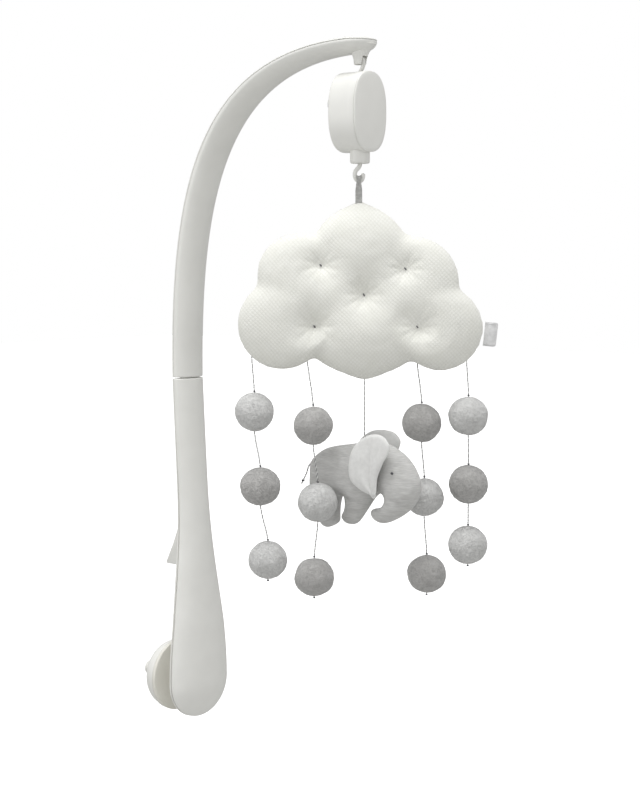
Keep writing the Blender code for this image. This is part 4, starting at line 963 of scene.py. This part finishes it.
def remeshed(obj, voxel):
    change = obj.modifiers.new("remesh", "REMESH")
    change.mode = "VOXEL"
    change.voxel_size = voxel
    return applied(obj)


def smoothed(obj, rounds, factor=0.5):
    change = obj.modifiers.new("smooth", "SMOOTH")
    change.iterations = rounds
    change.factor = factor
    return applied(obj)


def subdivided(obj, levels=1):
    change = obj.modifiers.new("finer", "SUBSURF")
    change.levels = levels
    change.render_levels = levels
    return applied(obj)


def make_cloud():
    cloud = remeshed(cushion_start(), 0.0032)
    held = []
    for vertex in cloud.data.vertices:
        near = min(math.hypot(vertex.co.x - a, vertex.co.z - z) for a, z in TUFTS)
        rim = abs(vertex.co.y) < 0.0030
        if near < 0.0035:
            held.append((vertex.index, 1.0))
        elif rim:
            held.append((vertex.index, 1.0))
    stuffed(cloud, 5.0, held, 0.0065)
    cloud = smoothed(cloud, 2)
    cloud = subdivided(cloud)
    for vertex in cloud.data.vertices:
        where = vertex.co
        reach = math.hypot(where.x, where.z - CLOUD_CENTRE_Z)
        edge = cloud_radius(math.atan2(where.z - CLOUD_CENTRE_Z, where.x))
        for along, up in TUFTS:
            off = Vector((where.x - along, 0, where.z - up))
            away = off.length
            if away < 0.030 and edge - reach > 0.002:
                angle = math.atan2(off.z, off.x)
                fold = math.sin(angle * 5 + along * 900) * math.exp(-((away - 0.009) / 0.007) ** 2) * 0.0007
                where.y += math.copysign(fold, where.y)
        middle = math.exp(-(where.y / 0.012) ** 2)
        if where.z > 0.30:
            where.z += 0.0030 * middle * math.exp(-(where.x / 0.011) ** 2)
        elif where.z < 0.205:
            where.z -= 0.0032 * middle * math.exp(-((where.x - ELEPHANT_ALONG) / 0.013) ** 2)
        drift = noise.noise(where * 55.0) * 0.0005
        where.y += math.copysign(drift, where.y) * min(abs(where.y) / 0.004, 1.0)
    cloud.data.transform(HANG)
    finish_piece(cloud, CLOUD_KNIT, "cloud_knit", "cloud", "cloud_cushion")

    surface = {}
    for side in (-1, 1):
        for number, (along, up) in enumerate(TUFTS, 1):
            middle = min((HANG.inverted() @ v.co for v in cloud.data.vertices
                          if (HANG.inverted() @ v.co).y * side > 0),
                         key=lambda p: math.hypot(p.x - along, p.z - up))
            surface[side, number] = middle.y
    for (side, number), depth in surface.items():
        along, up = TUFTS[number - 1]
        y = depth + side * 0.0006
        stitch = [Vector((along - 0.0006, y - side * 0.0012, up + 0.0009)), Vector((along - 0.0003, y, up + 0.0004)),
                  Vector((along + 0.0003, y, up - 0.0004)), Vector((along + 0.0006, y - side * 0.0012, up - 0.0009))]
        name = "front" if side < 0 else "back"
        thread = tube(f"tuft_{name}_{number}", smooth_route(stitch, 4), [0.00055] * 13, (0, 0, 1), 8, HANG)
        finish_piece(thread, YARN_DARK, "twine", "cloud")


def make_label():
    place = HANG @ Matrix.Translation((0.1124, 0, 0.2262)) @ Matrix.Rotation(math.radians(6), 4, "Y")
    rings = []
    outline = []
    half_x, half_z, corner = 0.0056, 0.0104, 0.0020
    for cx, cz, start in ((half_x - corner, half_z - corner, 0), (-half_x, half_z, 90), (-half_x, -half_z, 180),
                          (half_x - corner, -half_z + corner, 270)):
        if start in (90, 180):
            outline.append((cx, cz))
            continue
        for i in range(7):
            angle = math.radians(start + 15 * i)
            outline.append((cx + corner * math.cos(angle), cz + corner * math.sin(angle)))
    outline = soften(outline, 0.0003, 120)
    for y, less in ((-0.0007, 0.0003), (-0.00055, 0.00005), (0.0, 0.0), (0.00055, 0.00005), (0.0007, 0.0003)):
        ring = []
        for x, z in outline:
            curl = 0.0008 * ((x + half_x) / (2 * half_x)) ** 2
            ring.append((x * (1 - less / half_x), y + curl, z * (1 - less / half_z)))
        rings.append(ring)
    label = loft("side_label", rings, place)
    finish_piece(label, LABEL_CLOTH, "label_cloth", "cloud", "cloud_label", sharp=60)
    for side in (-1, 1):
        for z in (-0.0088, 0.0088):
            route = [Vector((x / 1000, side * 0.00075 + 0.0008 * ((x / 1000 + half_x) / (2 * half_x)) ** 2, z))
                     for x in np.linspace(-5.2, 3.6, 12)]
            name = ("front" if side < 0 else "back") + ("_low" if z < 0 else "_high")
            edge = tube(f"label_hem_{name}", route, [0.00018] * 12, (0, 0, 1), 6, place)
            finish_piece(edge, LABEL_THREAD, "label_cloth", "cloud")


# ---- strings and felt balls ---------------------------------------------------------------------------
# string name: offset towards the front, then its place along the cloud and the balls' centres
STRINGS = (
    ("left", 0.0, -0.0927, ((-0.0908, 0.1587), (-0.0858, 0.0937), (-0.0795, 0.0290)), (0, 1, 0)),
    ("inner_left", -0.005, -0.0444, ((-0.0397, 0.1475), (-0.0358, 0.0807), (-0.0389, 0.0151)), (1, 0, 1)),
    ("inner_right", 0.005, 0.0502, ((0.0540, 0.1491), (0.0566, 0.0842), (0.0591, 0.0164)), (1, 0, 1)),
    ("right", 0.0, 0.0923, ((0.0940, 0.1557), (0.0945, 0.0961), (0.0945, 0.0431)), (0, 1, 0)),
)
PLY_PITCH = 0.0044              # one full turn of the twine's two plies


def resampled(route, spacing):
    points = np.array([tuple(p) for p in route])
    length = np.concatenate([[0.0], np.cumsum(np.linalg.norm(np.diff(points, axis=0), axis=1))])
    count = max(int(length[-1] / spacing), 4)
    marks = np.linspace(0, length[-1], count + 1)
    even = [Vector([float(np.interp(m, length, points[:, k])) for k in range(3)]) for m in marks]
    return even, float(length[-1])


def twine(name, route, place, radius=TWINE):
    """Two plies, one dark and one light, twisted round each other along a route."""
    line, total = resampled(route, 0.00062)
    across = frames(line, (0, 1, 0))
    sides = 7
    bm = bmesh.new()
    for strand in (0, 1):
        ply = radius * (0.46, 0.64)[strand]
        loops = []
        for i, (here, (a, b)) in enumerate(zip(line, across)):
            turn = math.tau * (i * total / (len(line) - 1)) / PLY_PITCH + math.pi * strand
            middle = here + (a * math.cos(turn) + b * math.sin(turn)) * (radius - ply)
            loops.append([bm.verts.new(middle + (a * math.cos(math.tau * k / sides)
                                                 + b * math.sin(math.tau * k / sides)) * ply) for k in range(sides)])
        faces = []
        for low, high in zip(loops, loops[1:]):
            for k in range(sides):
                j = (k + 1) % sides
                faces.append(bm.faces.new((low[k], low[j], high[j], high[k])))
        faces.append(bm.faces.new(loops[0][::-1]))
        faces.append(bm.faces.new(loops[-1]))
        for face in faces:
            face.material_index = strand
            face.smooth = True
    bm.transform(place)
    obj = from_bmesh(name, bm)
    obj.data.materials.append(YARN_DARK)
    obj.data.materials.append(YARN_LIGHT)
    return obj, [place @ p for p in line], total


def knot(name, centre, size, place, mat=None):
    """A small overhand knot."""
    points = []
    for i in range(49):
        t = math.tau * i / 48
        points.append(Vector(((math.sin(t) + 2 * math.sin(2 * t)) / 3, (math.cos(t) - 2 * math.cos(2 * t)) / 3,
                              -math.sin(3 * t) / 2.2)) * size)
    made = tube(name, [p + Vector(centre) for p in points], [size * 0.42] * 49, (0, 0, 1), 8, place)
    return made, mat or YARN_DARK


def drift(place):
    """Three noises, read well apart, as one vector: the same in every run."""
    return Vector([noise.noise(place + Vector((apart, 0, 0))) for apart in (9.3, 31.7, 57.1)])


def felt_ball(name, centre, is_dark, number, body):
    """A hand-rolled ball: not quite round, a little flattened, with a soft uneven surface."""
    chance = random.Random(number)
    bm = bmesh.new()
    bmesh.ops.create_icosphere(bm, subdivisions=5, radius=1.0)
    stretch = Vector((chance.uniform(0.985, 1.03), chance.uniform(0.985, 1.03), chance.uniform(0.955, 0.99)))
    offset = Vector((number * 3.1, number * 1.7, 0.0))
    lean = Matrix.Rotation(chance.uniform(-0.5, 0.5), 3, "Y")
    for vertex in bm.verts:
        way = vertex.co.normalized()
        broad = noise.noise(way * 1.3 + offset) * 0.045
        lumps = noise.noise(way * 5.0 + offset) * 0.012
        fuzz = noise.noise(way * 22.0 + offset) * 0.006
        warped = way * 5.5 + offset + drift(way * 3.0 + offset)
        curl = math.exp(-(noise.noise(warped) / 0.16) ** 2) + 0.7 * math.exp(-(noise.noise(warped * 1.6) / 0.18) ** 2)
        fuzz -= curl * 0.0170 * ease((0.95 - way.z) / 0.9)
        shaped = lean @ way
        vertex.co = Vector((shaped.x * stretch.x, shaped.y * stretch.y, shaped.z * stretch.z)) \
            * BALL_RADIUS * (1.0 + broad + lumps + fuzz)
    bm.transform(HANG @ Matrix.Translation(centre))
    ball = from_bmesh(f"felt_{name}", bm)
    mat, slot_name = (FELT_DARK, "felt_dark") if is_dark else (FELT_LIGHT, "felt_light")
    return finish_piece(ball, mat, slot_name, body, f"ball_{name}")


def make_strings():
    number = 0
    for name, y, top, balls, dark in STRINGS:
        body = f"{name}_balls"
        start = Vector((top, y, string_top(top) + 0.0075))
        knots = [start, Vector((top, y, string_top(top)))]
        for count, ((along, z), is_dark) in enumerate(zip(balls, dark), 1):
            number += 1
            knots += [Vector((along, y, z + BALL_RADIUS)), Vector((along, y, z - BALL_RADIUS))]
            felt_ball(f"{name}_{count}", Vector((along, y, z)), is_dark, number, body)
            tie, mat = knot(f"tie_{name}_{count}", (along, y, z + BALL_RADIUS + 0.0008), 0.00082, HANG)
            finish_piece(tie, mat, "twine", body)
        knots[-1] -= Vector((0, 0, 0.0010))
        route = smooth_route(knots, 6)
        cord, path, length = twine(f"twine_{name}", route, HANG)
        finish_piece(cord, None, "twine", body, f"string_{name}")
        end, mat = knot(f"end_{name}", knots[-1], 0.0008, HANG)
        finish_piece(end, mat, "twine", body)
        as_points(path)


# ---- the elephant: local x runs towards its head --------------------------------------------------------
BODY_OUTLINE = (                # (x, z) from the rump over the back, the head and trunk, and the legs
    (-0.0583, 0.1060), (-0.0560, 0.1140), (-0.0499, 0.1194), (-0.0426, 0.1239), (-0.0345, 0.1266),
    (-0.0255, 0.1284), (-0.0166, 0.1299), (-0.0040, 0.1322), (0.0079, 0.1344), (0.0165, 0.1347),
    (0.0251, 0.1330), (0.0330, 0.1298), (0.0400, 0.1258), (0.0455, 0.1215), (0.0500, 0.1168),
    (0.0540, 0.1110), (0.0570, 0.1050), (0.0581, 0.0990), (0.0575, 0.0935), (0.0558, 0.0880),
    (0.0528, 0.0830), (0.0485, 0.0780), (0.0420, 0.0730), (0.0348, 0.0688), (0.0280, 0.0657),
    (0.0220, 0.0642), (0.0168, 0.0645), (0.0120, 0.0668), (0.0090, 0.0699), (0.0084, 0.0724),
    (0.0096, 0.0750), (0.0130, 0.0763), (0.0172, 0.0772), (0.0214, 0.0796), (0.0245, 0.0833),
    (0.0256, 0.0866), (0.0240, 0.0889), (0.0202, 0.0898), (0.0160, 0.0890), (0.0120, 0.0864),
    (0.0085, 0.0830), (0.0060, 0.0795), (0.0030, 0.0752), (-0.0006, 0.0703), (-0.0050, 0.0642),
    (-0.0085, 0.0607), (-0.0129, 0.0596), (-0.0183, 0.0601), (-0.0223, 0.0631), (-0.0236, 0.0658),
    (-0.0223, 0.0688), (-0.0196, 0.0722), (-0.0180, 0.0763), (-0.0177, 0.0808), (-0.0190, 0.0838),
    (-0.0228, 0.0845), (-0.0266, 0.0830), (-0.0286, 0.0800), (-0.0295, 0.0751), (-0.0299, 0.0694),
    (-0.0295, 0.0645), (-0.0290, 0.0604), (-0.0320, 0.0573), (-0.0400, 0.0541), (-0.0444, 0.0554),
    (-0.0476, 0.0593), (-0.0504, 0.0658), (-0.0531, 0.0727), (-0.0564, 0.0832), (-0.0580, 0.0938),
)
EAR_OUTLINE = ((0.0243, 0.1426), (0.0145, 0.1405), (0.0038, 0.1335), (-0.0022, 0.1240), (-0.0045, 0.1115),
               (-0.0025, 0.1010), (0.0056, 0.0945), (0.0160, 0.0905), (0.0220, 0.0871), (0.0255, 0.0910),
               (0.0265, 0.0985), (0.0285, 0.1070), (0.0350, 0.1180), (0.0412, 0.1275), (0.0425, 0.1345),
               (0.0375, 0.1402), (0.0310, 0.1423))
FAR_EAR_SHIFT = -0.0195
EYE = (0.0392, 0.1102)


def closed_curve(points, steps):
    """A smooth closed curve through (x, z) points."""
    knots = np.array(points)
    a, b, c, d = np.roll(knots, 1, 0), knots, np.roll(knots, -1, 0), np.roll(knots, -2, 0)
    rows = []
    for i in range(steps):
        t = i / steps
        rows.append(0.5 * (2 * b + (c - a) * t + (2 * a - 5 * b + 4 * c - d) * t ** 2
                           + (3 * b - a - 3 * c + d) * t ** 3))
    return np.stack(rows, axis=1).reshape(-1, 2)


def inside(points, curve):
    x, z = points[:, 0:1], points[:, 1:2]
    x0, z0 = curve[:, 0], curve[:, 1]
    x1, z1 = np.roll(x0, -1), np.roll(z0, -1)
    crosses = (z0 > z) != (z1 > z)
    at = x0 + (z - z0) * (x1 - x0) / np.where(z1 == z0, 1e-12, z1 - z0)
    return (np.count_nonzero(crosses & (x < at), axis=1) % 2).astype(bool)


def membrane(curve, limit, step=0.0010):
    """Heights of a stuffed skin over the outline: sqrt of a membrane's sag, at most about limit."""
    low = curve.min(0) - 3 * step
    size = np.ceil((curve.max(0) - low) / step).astype(int) + 4
    gx, gz = np.meshgrid(low[0] + step * np.arange(size[0]), low[1] + step * np.arange(size[1]), indexing="ij")
    mask = inside(np.stack([gx.ravel(), gz.ravel()], axis=1), curve).reshape(gx.shape)
    sag = np.zeros(gx.shape)
    reach = limit / 2
    for _ in range(900):
        around = np.roll(sag, 1, 0) + np.roll(sag, -1, 0) + np.roll(sag, 1, 1) + np.roll(sag, -1, 1)
        sag = np.where(mask, (around + 4 * step ** 2) / (4 + step ** 2 / reach ** 2), 0.0)

    def height(points):
        spot = (points - low) / step
        cell = np.clip(np.floor(spot).astype(int), 0, size - 2)
        part = spot - cell
        i, j = cell[:, 0], cell[:, 1]
        u, v = part[:, 0], part[:, 1]
        return (sag[i, j] * (1 - u) * (1 - v) + sag[i + 1, j] * u * (1 - v) + sag[i, j + 1] * (1 - u) * v
                + sag[i + 1, j + 1] * u * v)
    return height


def inflated(name, outline, limit, spacing, flat=1.0):
    """A stuffed piece from its outline: points (x, height, z) on both sides of the seam."""
    curve = closed_curve(outline, 5)
    tangent = np.roll(curve, -1, 0) - np.roll(curve, 1, 0)
    normal = np.stack([-tangent[:, 1], tangent[:, 0]], axis=1)
    normal /= np.linalg.norm(normal, axis=1)[:, None]
    if not inside(curve[:1] + normal[:1] * 0.0004, curve)[0]:
        normal = -normal
    height = membrane(curve, limit)
    reach = 0.0022
    base = height(curve + normal * reach)
    points, sags = [curve], [np.zeros(len(curve))]
    for share in (0.03, 0.12, 0.30, 0.60, 1.0):
        ring = curve + normal * reach * share
        gap = np.linalg.norm(ring[:, None] - curve[None], axis=2).min(1)
        keep = (gap > reach * share * 0.93) & inside(ring, curve)
        points.append(ring[keep])
        sags.append(base[keep] * share)
    low, high = curve.min(0), curve.max(0)
    gx, gz = np.meshgrid(np.arange(low[0], high[0], spacing), np.arange(low[1], high[1], spacing))
    grid = np.stack([gx.ravel(), gz.ravel()], axis=1)
    grid = grid[inside(grid, curve)]
    gap = np.linalg.norm(grid[:, None] - curve[None], axis=2).min(1)
    grid = grid[gap > reach + spacing * 0.5]
    points.append(grid)
    sags.append(height(grid))
    flat_points = np.vstack(points)
    sag = np.maximum(np.concatenate(sags), 0.0)
    count = len(curve)
    edges = [(i, (i + 1) % count) for i in range(count)]
    verts, _, faces, origin, _, _ = delaunay_2d_cdt([Vector(p) for p in flat_points], edges, [], 1, 1e-7)
    bm = bmesh.new()
    sides = {}
    for side in (-1, 1):
        for i, place in enumerate(verts):
            source = origin[i][0] if origin[i] else 0
            if source < count and side > 0:
                sides[side, i] = sides[-1, i]
                continue
            sides[side, i] = bm.verts.new((place.x, side * flat * math.sqrt(sag[source]), place.y))
        for face in faces:
            corners = [sides[side, i] for i in face]
            bm.faces.new(corners if side < 0 else corners[::-1])
    return from_bmesh(name, bm)


CREASES = (                     # folds in the elephant's skin: from (x, z) to (x, z), depth and width
    (-0.0170, 0.0850, 0.0030, 0.0800, 0.0011, 0.0016),
    (-0.0160, 0.0895, 0.0010, 0.0880, 0.0007, 0.0018),
    (0.0480, 0.0870, 0.0560, 0.0900, 0.0009, 0.0016),
    (0.0330, 0.0880, 0.0450, 0.0840, 0.0006, 0.0016),
    (-0.0560, 0.0990, -0.0430, 0.1020, 0.0008, 0.0040),
)


def crease_depth(x, z):
    total = 0.0
    for x0, z0, x1, z1, depth, width in CREASES:
        ax, az = x1 - x0, z1 - z0
        t = min(max(((x - x0) * ax + (z - z0) * az) / (ax * ax + az * az), 0.0), 1.0)
        away = math.hypot(x - x0 - ax * t, z - z0 - az * t)
        total += depth * math.sin(math.pi * mix(0.12, 0.88, t)) * math.exp(-(away / width) ** 2)
    return total


def ear_surface(x, z, side, shift):
    """How far the ear's middle stands off the elephant's middle plane."""
    lift = 0.0050 * ease((x - shift - 0.015) / 0.028) + 0.0016 * math.cos((z - 0.115) * 60)
    return side * (0.0150 + lift)


def make_ear(name, side, shift, node):
    ear = inflated(f"ear_{name}", EAR_OUTLINE, 0.0034, 0.0012, 0.55)
    for vertex in ear.data.vertices:
        x, y, z = vertex.co
        outer = y * side > -1e-6
        root_x, root_z = 0.0215, 0.0880
        angle = math.atan2(z - root_z, x - root_x)
        away = math.hypot(x - root_x, z - root_z)
        pleats = 0.00055 * math.sin(angle * 9.0 + 0.6) * math.exp(-(away / 0.022) ** 2)
        fold = 0.0011 * math.exp(-((x - 0.0195 - 0.06 * (z - 0.115)) / 0.0018) ** 2) * ease((0.136 - z) / 0.02)
        ripple = 0.00045 * noise.noise(Vector((x * 95, side, z * 95)))
        vertex.co.x = x + shift
        vertex.co.y = ear_surface(x + shift, z, side, shift) + y + side * (pleats - fold + ripple)
        vertex.co.z = z
    ear.data.materials.append(EAR_WHITE)
    ear.data.materials.append(EAR_GREY)
    for face in ear.data.polygons:
        outwards = face.normal.y * side > 0
        face.material_index = 0 if outwards == (side < 0) else 1
    ear.data.transform(TROT)
    finish_piece(ear, None, "ear_cloth", "elephant", node)


def make_elephant():
    body = inflated("elephant_soft", BODY_OUTLINE, 0.0138, 0.0014)
    for vertex in body.data.vertices:
        x, y, z = vertex.co
        depth = crease_depth(x, z) * min(abs(y) / 0.004, 1.0)
        lumps = 0.0006 * noise.noise(Vector((x * 60, 3.0, z * 60))) * min(abs(y) / 0.004, 1.0)
        vertex.co.y = y - math.copysign(depth, y) + math.copysign(lumps, y)
    body = smoothed(body, 3, 0.4)
    body.data.transform(TROT)
    finish_piece(body, GREY_KNIT, "grey_knit", "elephant", "elephant_body")
    make_ear("near", -1, 0.0, "elephant_ear_near")
    make_ear("far", 1, FAR_EAR_SHIFT, "elephant_ear_far")

    inverse = TROT.inverted()
    local = [inverse @ v.co for v in body.data.vertices]
    for side, name in ((-1, "near"), (1, "far")):
        spot = min((p for p in local if p.y * side > 0), key=lambda p: math.hypot(p.x - EYE[0], p.z - EYE[1]))
        for step, (dx, dz) in enumerate(((0.0, 0.0), (0.00025, 0.0003)), 1):
            bm = bmesh.new()
            bmesh.ops.create_icosphere(bm, subdivisions=3, radius=1.0)
            for vertex in bm.verts:
                vertex.co *= 1.0 + 0.10 * noise.noise(vertex.co * 2.5 + Vector((step, side, 0)))
            size = 0.00115 if step == 1 else 0.00075
            bm.transform(TROT @ Matrix.Translation((EYE[0] + dx, spot.y + side * 0.0003 * step, EYE[1] + dz))
                         @ Matrix.Diagonal((size * 1.15, size * 0.8, size, 1)))
            eye = from_bmesh(f"eye_{name}_{step}", bm)
            finish_piece(eye, YARN_DARK, "twine", "elephant")

    tail_points = [(-0.0575, 0, 0.1115), (-0.0600, 0, 0.1100), (-0.0632, 0, 0.1060), (-0.0655, 0, 0.1000),
                   (-0.0690, 0, 0.0940), (-0.0712, 0, 0.0900)]
    tail, _, _ = twine("tail_twine", smooth_route(tail_points, 5), TROT, 0.00075)
    finish_piece(tail, None, "twine", "elephant", "elephant_tail")
    tie, mat = knot("tail_knot", (-0.0696, 0, 0.0932), 0.0011, TROT)
    finish_piece(tie, mat, "twine", "elephant")

    top = Vector((ELEPHANT_ALONG, 0, string_top(ELEPHANT_ALONG)))
    low = Vector((ELEPHANT_ALONG, 0, ELEPHANT_STRING_END))
    route = [top + Vector((0, 0, 0.0060)), *[top + (low - top) * i / 8 for i in range(9)]]
    cord, path, length = twine("twine_elephant", route, HANG)
    finish_piece(cord, None, "twine", "cloud", "string_elephant")
    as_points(path)


make_camera()
make_strings()
make_elephant()
make_cloud()
make_label()
make_hook()
make_box()
make_post()
make_arm()
make_clamp()
paint_cad_nodes()
make_floor()
make_studio()
